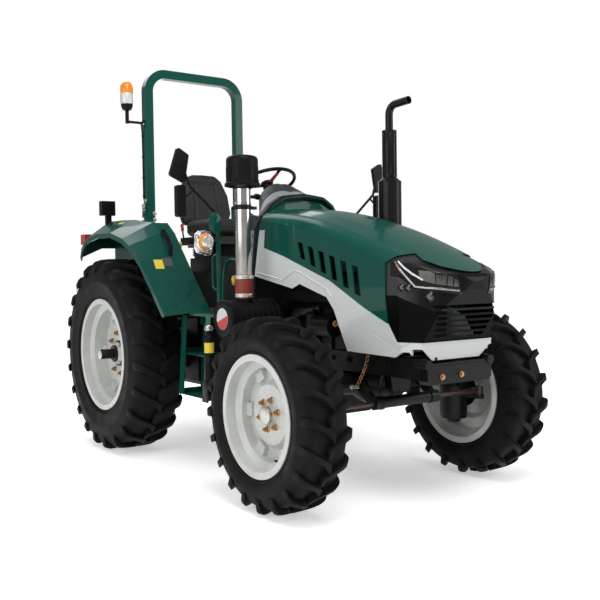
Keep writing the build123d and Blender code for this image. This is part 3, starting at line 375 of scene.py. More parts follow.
def arithmetic(tree, operation, a, b):
    node = add(tree, "Math", operation=operation)
    for socket, value in zip(node.inputs, (a, b)):
        if isinstance(value, (int, float)):
            socket.default_value = value
        else:
            tree.links.new(value, socket)
    return node.outputs["Value"]


def blended(tree, factor, a, b):
    """Colour a turning to colour b by the factor."""
    node = add(tree, "Mix", data_type="RGBA")
    for label, value in (("Factor", factor), ("A", a), ("B", b)):
        socket = [s for s in node.inputs if s.name == label and s.enabled][0]
        if isinstance(value, (int, float)):
            socket.default_value = value
        elif isinstance(value, tuple):
            socket.default_value = (*value, 1.0)
        else:
            tree.links.new(value, socket)
    return [s for s in node.outputs if s.enabled][0]


def make_uneven_tone():
    """Broad and fine colour variation: a tint either side of the colour."""
    group, given, result = node_group(
        "uneven_tone",
        [("Color", "NodeSocketColor", (0.5, 0.5, 0.5, 1)), ("Scale", "NodeSocketFloat", 6.0),
         ("Amount", "NodeSocketFloat", 0.1)],
        [("Color", "NodeSocketColor"), ("Mask", "NodeSocketFloat")])
    cloud = noise(group, given.outputs["Scale"], 4.0, 0.6)
    centred = arithmetic(group, "SUBTRACT", cloud.outputs["Fac"], 0.5)
    swing = arithmetic(group, "MULTIPLY", centred, given.outputs["Amount"])
    value = arithmetic(group, "ADD", swing, 1.0)
    scaled = add(group, "HueSaturation")
    group.links.new(given.outputs["Color"], scaled.inputs["Color"])
    group.links.new(value, scaled.inputs["Value"])
    group.links.new(scaled.outputs["Color"], result.inputs["Color"])
    group.links.new(cloud.outputs["Fac"], result.inputs["Mask"])
    return group


def make_fine_grain():
    """A moulded or cast skin, as a height and a mask."""
    group, given, result = node_group(
        "fine_grain", [("Scale", "NodeSocketFloat", 400.0), ("Depth", "NodeSocketFloat", 0.1)],
        [("Normal", "NodeSocketVector"), ("Mask", "NodeSocketFloat")])
    pips = noise(group, given.outputs["Scale"], 2.0, 0.5)
    bump = add(group, "Bump")
    bump.inputs["Distance"].default_value = 0.001
    group.links.new(given.outputs["Depth"], bump.inputs["Strength"])
    group.links.new(pips.outputs["Fac"], bump.inputs["Height"])
    group.links.new(bump.outputs["Normal"], result.inputs["Normal"])
    group.links.new(pips.outputs["Fac"], result.inputs["Mask"])
    return group


def make_yard_dust():
    """Dry dust in patches, thicker near the ground."""
    group, given, result = node_group(
        "yard_dust",
        [("Color", "NodeSocketColor", (0.1, 0.1, 0.1, 1)), ("Amount", "NodeSocketFloat", 0.3),
         ("Reach", "NodeSocketFloat", 1.0)],
        [("Color", "NodeSocketColor"), ("Mask", "NodeSocketFloat")])
    split = add(group, "SeparateXYZ")
    group.links.new(tree_place(group), split.inputs[0])
    drop = arithmetic(group, "DIVIDE", split.outputs["Z"], given.outputs["Reach"])
    near = arithmetic(group, "MAXIMUM", arithmetic(group, "SUBTRACT", 1.0, drop), 0.12)
    patches = ramp(group, noise(group, 5.0, 6.0, 0.65).outputs["Fac"], 0.42, 0.68)
    mask = arithmetic(group, "MULTIPLY", arithmetic(group, "MULTIPLY", near, patches),
        given.outputs["Amount"])
    group.links.new(mask, result.inputs["Mask"])
    tinted = blended(group, mask, given.outputs["Color"], (0.23, 0.19, 0.15))
    group.links.new(tinted, result.inputs["Color"])
    return group


def make_weave():
    """Fine crossed threads for cloth."""
    group, given, result = node_group(
        "weave", [("Scale", "NodeSocketFloat", 700.0), ("Depth", "NodeSocketFloat", 0.3)],
        [("Normal", "NodeSocketVector"), ("Mask", "NodeSocketFloat")])
    threads = []
    for direction in ("X", "Y"):
        wave = add(group, "TexWave", bands_direction=direction)
        wave.inputs["Distortion"].default_value = 0.6
        group.links.new(given.outputs["Scale"], wave.inputs["Scale"])
        group.links.new(tree_place(group), wave.inputs["Vector"])
        threads.append(wave.outputs["Fac"])
    height = arithmetic(group, "MAXIMUM", *threads)
    bump = add(group, "Bump")
    bump.inputs["Distance"].default_value = 0.0006
    group.links.new(given.outputs["Depth"], bump.inputs["Strength"])
    group.links.new(height, bump.inputs["Height"])
    group.links.new(bump.outputs["Normal"], result.inputs["Normal"])
    group.links.new(height, result.inputs["Mask"])
    return group


UNEVEN_TONE = make_uneven_tone()
FINE_GRAIN = make_fine_grain()
YARD_DUST = make_yard_dust()
WEAVE = make_weave()


def placed(tree, group, **inputs):
    node = tree.nodes.new("ShaderNodeGroup")
    node.node_tree = group
    for label, value in inputs.items():
        socket = node.inputs[label]
        if isinstance(value, (int, float)):
            socket.default_value = value
        elif isinstance(value, tuple):
            socket.default_value = (*value, 1.0)
        else:
            tree.links.new(value, socket)
    return node


# ------------------------------------------------------------------ finishes
def finish(name, color, rough, rough_swing=0.06, tone=0.12, tone_scale=5.0, metal=0.0, grain=None,
        dust=None, weave=None, coat=(0, 0.03), shine=0.5, **sockets):
    """A Principled finish with uneven tone, a skin, dust, a coat and its own constant sockets."""
    material = bpy.data.materials.new(name)
    material.use_nodes = True
    tree = material.node_tree
    shader = tree.nodes["Principled BSDF"]
    shader.inputs["Metallic"].default_value = metal
    shader.inputs["Specular IOR Level"].default_value = shine
    shader.inputs["Coat Weight"].default_value, shader.inputs["Coat Roughness"].default_value = coat
    toned = placed(tree, UNEVEN_TONE, Color=color, Scale=tone_scale, Amount=tone)
    surface = toned.outputs["Color"]
    roughness = ramp(tree, toned.outputs["Mask"], 0.3, 0.7, rough - rough_swing, rough + rough_swing)
    if dust:
        amount, reach = dust
        layer = placed(tree, YARD_DUST, Color=surface, Amount=amount, Reach=reach)
        surface = layer.outputs["Color"]
        roughness = arithmetic(tree, "ADD", roughness, arithmetic(tree, "MULTIPLY", layer.outputs["Mask"],
            0.4))
    tree.links.new(surface, shader.inputs["Base Color"])
    tree.links.new(roughness, shader.inputs["Roughness"])
    if grain or weave:
        scale, depth = grain or weave
        layer = placed(tree, FINE_GRAIN if grain else WEAVE, Scale=float(scale), Depth=depth)
        tree.links.new(layer.outputs["Normal"], shader.inputs["Normal"])
    for label, value in sockets.items():
        label = label.replace("_", " ")
        shader.inputs[label].default_value = (*value, 1.0) if isinstance(value, tuple) else value
    return material


GREEN = (0.002, 0.068, 0.051)
GREEN_PAINT = finish("green_gloss_paint", GREEN, 0.3, 0.03, 0.1, 3.0, grain=(160, 0.025), dust=(0.08, 1.4),
    coat=(0.34, 0.04), shine=0.08)
PALE_PAINT = finish("pale_gloss_paint", (0.66, 0.69, 0.68), 0.24, 0.03, 0.04, 3.0, grain=(160, 0.02),
    dust=(0.12, 1.4), coat=(0.5, 0.06))
RIM_PAINT = finish("off_white_rim_paint", (0.66, 0.68, 0.65), 0.28, 0.05, 0.05, 6.0, grain=(220, 0.03),
    dust=(0.35, 1.5), coat=(0.35, 0.1))
BLACK_PAINT = finish("black_paint", (0.006, 0.006, 0.0065), 0.32, 0.06, 0.25, 8.0, grain=(260, 0.05),
    dust=(0.12, 1.2), coat=(0.08, 0.12), shine=0.14)
CAST_BLACK = finish("painted_casting", (0.005, 0.005, 0.0055), 0.42, 0.1, 0.35, 14.0, grain=(320, 0.25),
    dust=(0.12, 1.0), coat=(0.08, 0.25), shine=0.14)
STAINLESS = finish("stainless_tube", (0.62, 0.6, 0.57), 0.17, 0.05, 0.16, 7.0, metal=1.0, grain=(90, 0.03))
ZINC = finish("zinc_plate", (0.55, 0.54, 0.5), 0.34, 0.08, 0.25, 40.0, metal=1.0, grain=(500, 0.05))
COPPER_NUT = finish("yellow_passivated_nut", (0.42, 0.24, 0.11), 0.38, 0.08, 0.4, 60.0, metal=0.9,
    grain=(600, 0.06))
TIE_STEEL = finish("worn_tie_rod", (0.07, 0.045, 0.035), 0.45, 0.1, 0.5, 24.0, metal=0.7, grain=(300, 0.2))
CHROME = finish("rod_chrome", (0.78, 0.78, 0.8), 0.08, 0.03, 0.05, 10.0, metal=1.0)
RUBBER = finish("tyre_rubber", (0.0048, 0.0048, 0.0054), 0.6, 0.1, 0.35, 9.0, grain=(420, 0.16),
    dust=(0.03, 1.6), shine=0.12)
LUG_RUBBER = finish("tread_rubber", (0.0044, 0.0044, 0.0046), 0.58, 0.1, 0.35, 9.0, grain=(420, 0.16),
    dust=(0.06, 2.0), shine=0.1)
BLACK_PLASTIC = finish("black_moulding", (0.006, 0.006, 0.007), 0.4, 0.06, 0.15, 20.0, grain=(520, 0.12),
    shine=0.1)
GLOSS_BLACK = finish("gloss_black_moulding", (0.004, 0.004, 0.0045), 0.12, 0.03, 0.1, 20.0,
    coat=(0.25, 0.05), shine=0.3)
DASH_PLASTIC = finish("grey_moulding", (0.03, 0.034, 0.038), 0.46, 0.06, 0.12, 16.0, grain=(560, 0.16),
    shine=0.3)
CONSOLE_PLASTIC = finish("pale_grey_moulding", (0.235, 0.265, 0.3), 0.42, 0.06, 0.1, 16.0, grain=(560, 0.12))
SEAT_VINYL = finish("seat_vinyl", (0.018, 0.0175, 0.0165), 0.56, 0.08, 0.22, 12.0, grain=(380, 0.35),
    shine=0.3)
ORANGE_HOSE = finish("orange_hose", (0.21, 0.026, 0.011), 0.48, 0.08, 0.25, 25.0, weave=(420, 0.25))
BLACK_HOSE = finish("black_hose", (0.006, 0.006, 0.0065), 0.46, 0.08, 0.2, 25.0, grain=(500, 0.15),
    shine=0.25)
BRAKE_RED = finish("red_moulding", (0.42, 0.012, 0.01), 0.36, 0.05, 0.12, 20.0, grain=(500, 0.08))
LABEL_YELLOW = finish("blank_yellow_label", (0.78, 0.62, 0.05), 0.38, 0.05, 0.1, 30.0)
LABEL_GREY = finish("blank_grey_label", (0.075, 0.07, 0.085), 0.38, 0.05, 0.12, 30.0)
LABEL_RED = finish("blank_red_label", (0.52, 0.035, 0.03), 0.38, 0.05, 0.12, 30.0)
LABEL_PALE = finish("blank_pale_label", (0.7, 0.71, 0.72), 0.38, 0.05, 0.06, 30.0)
MIRROR_GLASS = finish("mirror_glass", (0.8, 0.82, 0.84), 0.03, 0.01, 0.03, 10.0, metal=1.0)
LAMP_WHITE = finish("lamp_bowl", (0.78, 0.79, 0.8), 0.14, 0.04, 0.05, 30.0, metal=0.9)
LAMP_BAR = finish("lamp_bar", (0.34, 0.33, 0.31), 0.28, 0.12, 0.5, 60.0, metal=0.9, grain=(300, 0.3))
LAMP_DIM = finish("lamp_reflector", (0.1, 0.098, 0.09), 0.3, 0.12, 0.6, 90.0, metal=0.85, grain=(380, 0.5))
MARKER_LENS = finish("side_marker_lens", (0.36, 0.15, 0.1), 0.2, 0.05, 0.3, 60.0, coat=(0.4, 0.03))
AMBER_LENS = finish("amber_lens", (0.88, 0.27, 0.012), 0.14, 0.03, 0.12, 40.0, coat=(0.6, 0.03),
    Subsurface_Weight=0.25, Emission_Color=(0.9, 0.25, 0.01), Emission_Strength=0.1)
RED_LENS = finish("red_lens", (0.5, 0.012, 0.008), 0.14, 0.03, 0.12, 40.0, coat=(0.6, 0.03))
DAY_LIGHT = finish("day_light_strip", (0.66, 0.69, 0.72), 0.25, 0.04, 0.25, 120.0,
    Emission_Color=(0.85, 0.93, 1.0), Emission_Strength=0.06)
RUBBER_MAT = finish("platform_mat", (0.055, 0.045, 0.04), 0.72, 0.08, 0.3, 18.0, grain=(160, 0.4),
    dust=(0.5, 3.0))
RADIATOR_FINS = finish("radiator_core", (0.02, 0.02, 0.021), 0.5, 0.08, 0.3, 20.0, metal=0.5,
    weave=(260, 0.9))
NOSE_TONE = finish("nose_side_moulding", (0.02, 0.019, 0.024), 0.34, 0.05, 0.1, 12.0, grain=(420, 0.1),
    shine=0.35)
ORANGE_INLAY = finish("orange_inlay", (0.56, 0.075, 0.035), 0.4, 0.05, 0.1, 30.0)
MOTTLED = finish("mottled_bright_housing", (0.45, 0.46, 0.48), 0.24, 0.14, 1.2, 75.0, metal=0.85,
    grain=(75, 1.0))
LAMP_CAP = finish("clear_cap", (0.72, 0.71, 0.68), 0.16, 0.05, 0.25, 60.0, metal=0.55, grain=(140, 0.35),
    coat=(0.8, 0.03))

NODE_FINISH = {
    GREEN_PAINT: ["hood_shell", "cowl_panel", "fenders", "platform", "steps", "rops_base", "rops_hoop",
                  "lamp_posts"],
    PALE_PAINT: ["hood_skirt"],
    RIM_PAINT: ["rim_" + wheel for wheel in WHEELS],
    RUBBER: ["tyre_" + wheel for wheel in WHEELS],
    CAST_BLACK: ["engine", "transmission", "front_support", "front_axle", "knuckle_right", "knuckle_left",
                 "lower_link_right", "lower_link_left", "steering_cylinder", "lift_arms", "lift_rods",
                 "top_link", "drawbar"],
    BLACK_PAINT: ["exhaust", "seat_deck", "seat_base", "grab_handles", "steering_column"],
    NOSE_TONE: ["hood_mask"],
    GLOSS_BLACK: ["headlamps"],
    BLACK_PLASTIC: ["air_cleaner", "precleaner", "fuel_tanks", "mirrors", "work_lamps",
                    "steering_wheel"],
    DASH_PLASTIC: ["dash_cowl"],
    SEAT_VINYL: ["seat_cushion", "seat_back"],
    STAINLESS: ["intake_stack"],
    ZINC: ["link_pins"],
    TIE_STEEL: ["tie_rod"],
    RADIATOR_FINS: ["radiator"],
    RED_LENS: ["tail_lamps"],
    AMBER_LENS: ["beacon", "turn_lamps"],
}
for material, nodes in NODE_FINISH.items():
    for node in nodes:
        colored(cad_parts[node], material)
for node, degrees in (("fenders", 30), ("hood_shell", 19), ("hood_skirt", 19)):
    smooth(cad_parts[node], degrees)


# ------------------------------------------------------------------ camera, light and floor
CAMERA_PLACE = at(5.8587, -3.213, 1.2927)
CAMERA_AHEAD = Vector((-0.81624658, 0.57664836, -0.03490259))
CAMERA_LEAN = -0.014        # radians
CAMERA_LENS = 50.36


def make_camera():
    """A level view from the right front, with a slight lean."""
    data = bpy.data.cameras.new("camera")
    camera = bpy.data.objects.new("camera", data)
    scene.collection.objects.link(camera)
    right = CAMERA_AHEAD.cross(Vector((0, 0, 1))).normalized()
    up = right.cross(CAMERA_AHEAD)
    across = right * math.cos(CAMERA_LEAN) + up * math.sin(CAMERA_LEAN)
    above = up * math.cos(CAMERA_LEAN) - right * math.sin(CAMERA_LEAN)
    turn = Matrix((across, above, -CAMERA_AHEAD)).transposed().to_4x4()
    camera.matrix_world = Matrix.Translation(CAMERA_PLACE) @ turn
    data.lens = CAMERA_LENS
    scene.camera = camera


# columns: name, place, what it is aimed at, watts, width, height
LIGHTS = [
    ("overhead", (3.9, -1.2, 5.0), (1.6, 0, 0.9), 150, 3.0, 3.0),
    ("rear_overhead", (-2.6, -0.4, 5.0), (0.2, 0, 1.0), 60, 2.6, 3.0),
    ("right_bank", (2.4, -6.0, 3.0), (1.0, 0, 1.0), 115, 5.0, 2.6),
    ("front_bank", (5.4, 4.0, 2.8), (1.6, 0, 1.0), 85, 2.6, 2.6),
    ("rear_bank", (-4.5, 2.5, 3.4), (0, 0, 1.0), 60, 3.0, 3.0)]


def make_lights():
    """Broad soft lights round the tractor."""
    for name, place, aim, power, width, height in LIGHTS:
        data = bpy.data.lights.new(name, "AREA")
        data.shape = "RECTANGLE"
        data.energy, data.size, data.size_y = power, width, height
        lamp = bpy.data.objects.new(name, data)
        scene.collection.objects.link(lamp)
        lamp.location = at(*place)
        lamp.rotation_euler = (at(*aim) - at(*place)).to_track_quat("-Z", "Y").to_euler()


def make_studio():
    """A pale even sky and a floor that brightens away from the tractor."""
    world = bpy.data.worlds.new("studio")
    scene.world = world
    world.use_nodes = True
    tree = world.node_tree
    sky = tree.nodes["Background"]
    rays = add(tree, "LightPath")
    seen = arithmetic(tree, "MAXIMUM", rays.outputs["Is Camera Ray"], rays.outputs["Is Transmission Ray"])
    tree.links.new(ramp(tree, seen, 0.0, 1.0, 0.34, 1.0), sky.inputs["Strength"])
    sky.inputs["Color"].default_value = (1, 1, 1, 1)
    bpy.ops.mesh.primitive_plane_add(size=80, location=(0, 0, 0))
    floor = started("floor")
    material = bpy.data.materials.new("floor")
    material.use_nodes = True
    tree = material.node_tree
    shader = tree.nodes["Principled BSDF"]
    rays = add(tree, "LightPath")
    seen = arithmetic(tree, "MAXIMUM", rays.outputs["Is Camera Ray"], rays.outputs["Is Glossy Ray"])
    tree.links.new(blended(tree, seen, (0.8, 0.8, 0.8), (0.97, 0.97, 0.97)), shader.inputs["Base Color"])
    shader.inputs["Roughness"].default_value = 0.9
    shader.inputs["Specular IOR Level"].default_value = 0.0
    shader.inputs["Emission Color"].default_value = (1, 1, 1, 1)
    away = add(tree, "VectorMath", operation="DISTANCE")
    tree.links.new(tree_place(tree), away.inputs[0])
    away.inputs[1].default_value = (0.3, 0, 0)
    far = ramp(tree, away.outputs["Value"], 1.6, 5.0, 0.44, 1.0)
    tree.links.new(arithmetic(tree, "MULTIPLY", seen, far), shader.inputs["Emission Strength"])
    floor.data.materials.append(material)
    scene.view_settings.view_transform = "Standard"


make_camera()
make_lights()
make_studio()


# ------------------------------------------------------------------ wheels
# columns: place across the tyre from its shoulder (-1) past its middle (0), degrees ahead, half width in
# degrees, drop below the tread's top in mm
LUG_ROWS = [
    (-1.0, -8.4, 1.7, 58), (-0.992, -8.3, 1.95, 44), (-0.955, -8.0, 2.15, 27), (-0.87, -7.3, 2.1, 13),
    (-0.72, -6.2, 1.8, 4.5), (-0.52, -4.6, 1.62, 0.8), (-0.32, -2.8, 1.62, 0), (-0.14, -0.8, 1.85, 0),
    (-0.02, 0.9, 2.5, 0), (0.045, 1.9, 2.85, 0), (0.085, 2.5, 2.6, 0), (0.105, 2.9, 1.9, 0)]
LUG_HEIGHT = 0.034
# columns: outer radius, half width of the rim, radius of the rim's flange, bars on each side
TYRES = {"front": (0.526, 0.127, 0.33, 20), "rear": (0.7, 0.165, 0.406, 22)}


def make_lug(name, radius, half):
    """One bar of the tread, standing at the top of a wheel about the origin."""
    tread = radius - LUG_HEIGHT

    def place(share, degrees, height):
        turn = math.radians(degrees)
        return (math.sin(turn) * height, share * half, math.cos(turn) * height)

    rows = []
    for share, ahead, wide, drop in LUG_ROWS:
        top = radius - 0.0015 - drop / 1000
        foot = min(tread, top) - 0.012 - max(0.0, abs(share) - 0.7) * 0.1
        rows.append([place(share, ahead - wide - 0.7, foot), place(share, ahead - wide, top),
            place(share, ahead, top), place(share, ahead + wide, top),
            place(share, ahead + wide + 0.7, foot)])
    ends = []
    for (share, ahead, wide, drop), out in ((LUG_ROWS[0], -0.012), (LUG_ROWS[-1], 0.03)):
        foot = min(tread, radius - drop / 1000) - 0.03
        ends.append([place(share + out, ahead + k * (wide + 0.5), foot) for k in (-1.2, -1, 0, 1, 1.2)])
    lug = skin(name, [ends[0]] + rows + [ends[1]])
    lug.data.materials.append(RUBBER)
    lug.data.materials.append(LUG_RUBBER)
    outward(lug)
    worn = radius - 0.006
    reach = [math.hypot(vertex.co.x, vertex.co.z) for vertex in lug.data.vertices]
    for polygon in lug.data.polygons:
        polygon.material_index = 1 if min(reach[i] for i in polygon.vertices) > worn else 0
    return bevelled(lug, 0.004, 2, 35, 45)


def make_tyre(wheel):
    """A carcass with a row of bars from either shoulder, one row half a step ahead of the other."""
    node = "tyre_" + wheel
    half = (high(node).y - low(node).y) / 2
    radius, rim_half, flange, count = TYRES[wheel.split("_")[0]]
    seat, bead, tread = rim_half - 0.014, flange - 0.0237, radius - LUG_HEIGHT
    mid = (bead + tread) / 2 + 0.008
    side = [(seat - 0.02, bead), (seat, bead), (seat, flange + 0.003), (seat + 0.012, flange + 0.006),
        (seat + 0.015, flange + 0.012), (seat + 0.012, flange + 0.019), (half * 0.93, flange + 0.03),
        (half * 0.975, mid - 0.022), (half * 0.998, mid - 0.006), (half, mid + 0.004),
        (half * 0.995, mid + 0.012), (half * 0.975, mid + 0.022), (half * 0.95, tread - 0.048),
        (half * 0.9, tread - 0.03), (half * 0.83, tread - 0.016), (half * 0.72, tread - 0.006),
        (half * 0.6, tread - 0.001)]
    profile = [(r, -y) for y, r in side] + [(r, y) for y, r in reversed(side)]
    carcass = turned("carcass_" + wheel, profile, (0, 0, 0), (0, 1, 0), 120, closed=True)
    carcass.data.materials.append(RUBBER)
    lug = make_lug("lug_" + wheel, radius, half)
    pitch = 360 / count
    foot = (180 - 5.5) % (pitch / 2)
    pieces = [carcass]
    for i in range(count):
        for flip, shift in ((1, 0), (-1, 0.5)):
            turn = Matrix.Rotation(math.radians(pitch * (i + shift) + foot), 4, "Y")
            pieces.append(copied(lug, f"bar_{wheel}_{i}_{flip}", turn @ Matrix.Diagonal((1, flip, 1, 1))))
    bpy.data.objects.remove(lug)
    tyre = joined("tyre_rubber_" + wheel, pieces)
    tyre.data.transform(Matrix.Translation(middle(node)))
    dressed(tyre, None, "tyre", node, body="wheel_" + wheel)


def make_nuts(wheel, y, radius, count, size):
    """Wheel nuts on cone washers, in a ring about the axle."""
    centre = middle("rim_" + wheel)
    side = math.copysign(1, centre.y)
    nuts = []
    for i in range(count):
        place = Vector((centre.x, side * y, centre.z)) + wheel_point(360 * (i + 0.25) / count, radius)
        washer = turned(f"nut_seat_{wheel}_{i}", [(size * 1.5, 0), (size * 1.5, 0.003),
            (size * 1.1, 0.007)], place, (0, side, 0), 20)
        bpy.ops.mesh.primitive_cylinder_add(vertices=6, radius=size * 1.12, depth=0.018)
        nut = settle(started(f"nut_{wheel}_{i}"))
        nut.data.transform(Matrix.Translation((0, 0, 0.015)))
        bevelled(nut, size * 0.12, 2)
        nut.data.transform(facing((0, side, 0), place, i * 0.4))
        stud = turned(f"stud_{wheel}_{i}", [(size * 0.55, 0.02), (size * 0.55, 0.032),
            (size * 0.42, 0.034)], place, (0, side, 0), 16)
        nuts += [washer, nut, stud]
    dressed(joined("wheel_nuts_" + wheel, nuts), COPPER_NUT, "rim_paint", body="wheel_" + wheel)


def make_valve(wheel, y, radius):
    """A valve stem near the rim's edge."""
    centre = middle("rim_" + wheel)
    side = math.copysign(1, centre.y)
    foot = Vector((centre.x + radius * 0.5, side * y, centre.z - radius * 0.86))
    stem = turned("valve_" + wheel, [(0.01, -0.004), (0.01, 0.01), (0.006, 0.014), (0.006, 0.042),
        (0.004, 0.045)], foot, (0, side * 0.9, 0.4), 16)
    dressed(stem, BLACK_PLASTIC, "rim_paint", body="wheel_" + wheel)


def make_hub_cap(wheel):
    """The turned cap at the middle of a front wheel."""
    centre = middle("rim_" + wheel)
    side = math.copysign(1, centre.y)
    cap = turned("hub_cap_" + wheel, [(0.052, 0), (0.052, 0.01), (0.049, 0.016), (0.04, 0.019),
        (0.02, 0.02), (0.004, 0.02)], Vector((centre.x, side * 0.799, centre.z)), (0, side, 0))
    dressed(cap, ZINC, "rim_paint", body="wheel_" + wheel)


def make_axle_end(wheel):
    """The black bar axle with its bright end, and the clamp that holds the wheel on it."""
    centre = middle("rim_" + wheel)
    side = math.copysign(1, centre.y)
    place = Vector((centre.x, side * 0.722, centre.z))
    out = (0, side, 0)
    bar = turned("axle_bar_" + wheel, [(0.0345, 0.0), (0.0358, 0.002), (0.0358, 0.151), (0.0345, 0.1535)],
        place, out)
    end = turned("axle_face_" + wheel, [(0.034, 0.1505), (0.034, 0.1545), (0.03, 0.1555), (0.009, 0.1555),
        (0.007, 0.1535), (0.002, 0.153)], place, out)
    clamp = turned("axle_clamp_" + wheel, [(0.092, 0.0), (0.094, 0.002), (0.094, 0.014), (0.088, 0.017),
        (0.066, 0.019), (0.062, 0.046), (0.058, 0.05), (0.036, 0.051)], place, out, 56)
    pieces = [colored(bar, BLACK_PAINT), colored(end, ZINC), colored(clamp, CAST_BLACK)]
    for i in range(4):
        spot = place + wheel_point(45 + 90 * i, 0.074, side * 0.017)
        pieces.append(colored(hex_bolt("clamp_bolt", spot, out, 0.01, 0.009), COPPER_NUT))
    for up in (1, -1):
        lug = block("clamp_lug", (-0.052, 0.01, 0.036 * up - 0.014), (0.052, 0.048, 0.036 * up + 0.014),
            0.005, 3)
        lug.data.transform(Matrix.Translation(place) @ Matrix.Diagonal((1, side, 1, 1)))
        pieces.append(colored(outward(lug), CAST_BLACK))
    dressed(joined("axle_end_" + wheel, pieces), None, "rim_paint", body="wheel_" + wheel)


for wheel in WHEELS:
    make_tyre(wheel)
for wheel in ("front_right", "front_left"):
    make_nuts(wheel, 0.779, 0.083, 6, 0.0125)
    make_hub_cap(wheel)
    make_valve(wheel, 0.8, 0.27)
for wheel in ("rear_right", "rear_left"):
    make_nuts(wheel, 0.72, 0.15, 8, 0.0145)
    make_valve(wheel, 0.74, 0.33)
for wheel in ("rear_right", "rear_left"):
    make_axle_end(wheel)


# ------------------------------------------------------------------ pieces laid on a surface
def touch(node, start, direction):
    """Where a straight line from the start meets a node, and the surface's normal there."""
    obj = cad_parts[node]
    back = obj.matrix_world.inverted()
    aim = (back.to_3x3() @ Vector(direction)).normalized()
    hit, place, normal, _ = obj.ray_cast(back @ Vector(start), aim)
    if not hit:
        raise ValueError(f"nothing of {node} lies that way")
    return obj.matrix_world @ place, (obj.matrix_world.to_3x3() @ normal).normalized()


def strip(name, places, width, rise, sink=0.002, lean=0.8):
    """A raised bar that follows (place, normal) pairs."""
    rows = []
    for i, (place, normal) in enumerate(places):
        ahead = places[min(i + 1, len(places) - 1)][0] - places[max(i - 1, 0)][0]
        across = normal.cross(ahead).normalized() * width / 2
        up = normal * rise
        down = normal * -sink
        rows.append([place + across + down, place + across * lean + up, place - across * lean + up,
            place - across + down])
    for end in (0, -1):
        place, normal = places[end]
        flat = [point - normal * (point - place).dot(normal) - normal * sink for point in rows[end]]
        rows = [flat] + rows if end == 0 else rows + [flat]
    obj = outward(skin(name, rows))
    return bevelled(obj, min(width, rise) * 0.2, 2)


def laid(name, upper, lower, steps, node, direction, rise):
    """A patch between two edges, drawn onto a node's surface and lifted by rise."""
    rows = []
    for i in range(steps + 1):
        share = i / steps
        row = []
        for a, b in zip(upper, lower):
            place, normal = touch(node, a.lerp(b, share) - Vector(direction) * 0.5, direction)
            edge = 0.0 if 0 < i < steps else rise * 0.4
            row.append(place + normal * (rise - edge))
        rows.append(row)
    obj = outward(skin(name, rows))
    return smooth(thickened(obj, rise + 0.0015), 50)


# ------------------------------------------------------------------ headlamps, right then mirrored
AHEAD = Vector((-1, 0, 0))       # looking back at the nose
SIDE_LOOK = Vector((-0.42, 0.91, 0))     # looking square at the nose's right side


def spread(points, count):
    """Evenly spaced places along a bent line."""
    lengths = [(b - a).length for a, b in zip(points, points[1:])]
    total, places = sum(lengths), []
    for i in range(count):
        reach, k = total * i / (count - 1), 0
        while k < len(lengths) - 1 and reach > lengths[k]:
            reach -= lengths[k]
            k += 1
        places.append(points[k].lerp(points[k + 1], min(1.0, reach / lengths[k])))
    return places


def nose_touch(place):
    """The nose's surface next to a place, met square to the skin."""
    slope = -SIDE_LOOK if place.y > -0.3 and place.x < 2.76 + AXLE_X else Vector((0.9, -0.43, 0))
    best = None
    for node in ("headlamps", "hood_mask"):
        try:
            found = touch(node, place + slope * 0.12, -slope)
        except ValueError:
            continue
        if best is None or (found[0] - place).length < (best[0] - place).length:
            best = found
    return best


def lamp_pieces():
    """The right lamp's frame, light strip, marker, two bowls, and three small round lamps beside it."""
    outer, elbow, inner = at(2.585, -0.292, 1.33), at(2.705, -0.266, 1.203), at(2.862, -0.11, 1.181)
    frame_line = [nose_touch(p) for p in spread([outer, elbow], 9) + spread([elbow, inner], 12)[1:]]
    pieces = [colored(strip("lamp_frame", frame_line, 0.011, 0.005), LAMP_BAR)]
    line = spread([at(2.6, -0.285, 1.332), at(2.69, -0.268, 1.268), at(2.745, -0.248, 1.236)], 12)
    pieces.append(colored(strip("day_light", [nose_touch(p) for p in line], 0.01, 0.0065), DAY_LIGHT))
    line = spread([at(2.595, -0.292, 1.316), at(2.64, -0.281, 1.268)], 6)
    pieces.append(colored(strip("side_marker", [nose_touch(p) for p in line], 0.008, 0.0055), MARKER_LENS))
    bowls = [
        ([(-0.258, 1.286), (-0.214, 1.278), (-0.17, 1.262)],
         [(-0.254, 1.236), (-0.214, 1.216), (-0.176, 1.208)]),
        ([(-0.164, 1.258), (-0.14, 1.246), (-0.118, 1.232)],
         [(-0.17, 1.208), (-0.142, 1.203), (-0.116, 1.2)])]
    for i, (upper, lower) in enumerate(bowls):
        top = [Vector((NOSE_TIP, y, z)) for y, z in upper]
        foot = [Vector((NOSE_TIP, y, z)) for y, z in lower]
        bowl = laid(f"lamp_bowl_{i}", spread(top, 7), spread(foot, 7), 4, "headlamps", AHEAD, 0.0022)
        pieces.append(colored(bowl, LAMP_DIM))
        line = [top[1].lerp(foot[1], 0.05).lerp(top[1].lerp(foot[1], 0.95), k / 4) for k in range(5)]
        shade = strip(f"lamp_shade_{i}", [touch("headlamps", p - AHEAD * 0.5, AHEAD) for p in line], 0.006,
            0.006)
        pieces.append(colored(shade, GLOSS_BLACK))
    for i, (place, size) in enumerate(((at(2.63, -0.29, 1.198), 0.015), (at(2.668, -0.28, 1.196), 0.015),
            (at(2.772, -0.227, 1.152), 0.02))):
        spot, normal = touch("hood_mask", place - SIDE_LOOK * 0.1, SIDE_LOOK)
        ring = turned(f"spot_ring_{i}", [(size * 1.35, -0.002), (size * 1.35, 0.004), (size * 1.1, 0.007),
            (size, 0.003)], spot, normal, 28)
        pieces.append(colored(ring, GLOSS_BLACK))
        eye = turned(f"spot_lens_{i}", [(size * 0.95, 0.002), (size * 0.9, 0.006), (size * 0.6, 0.01),
            (size * 0.2, 0.0115)], spot, normal, 28)
        pieces.append(colored(eye, LAMP_DIM))
    return pieces


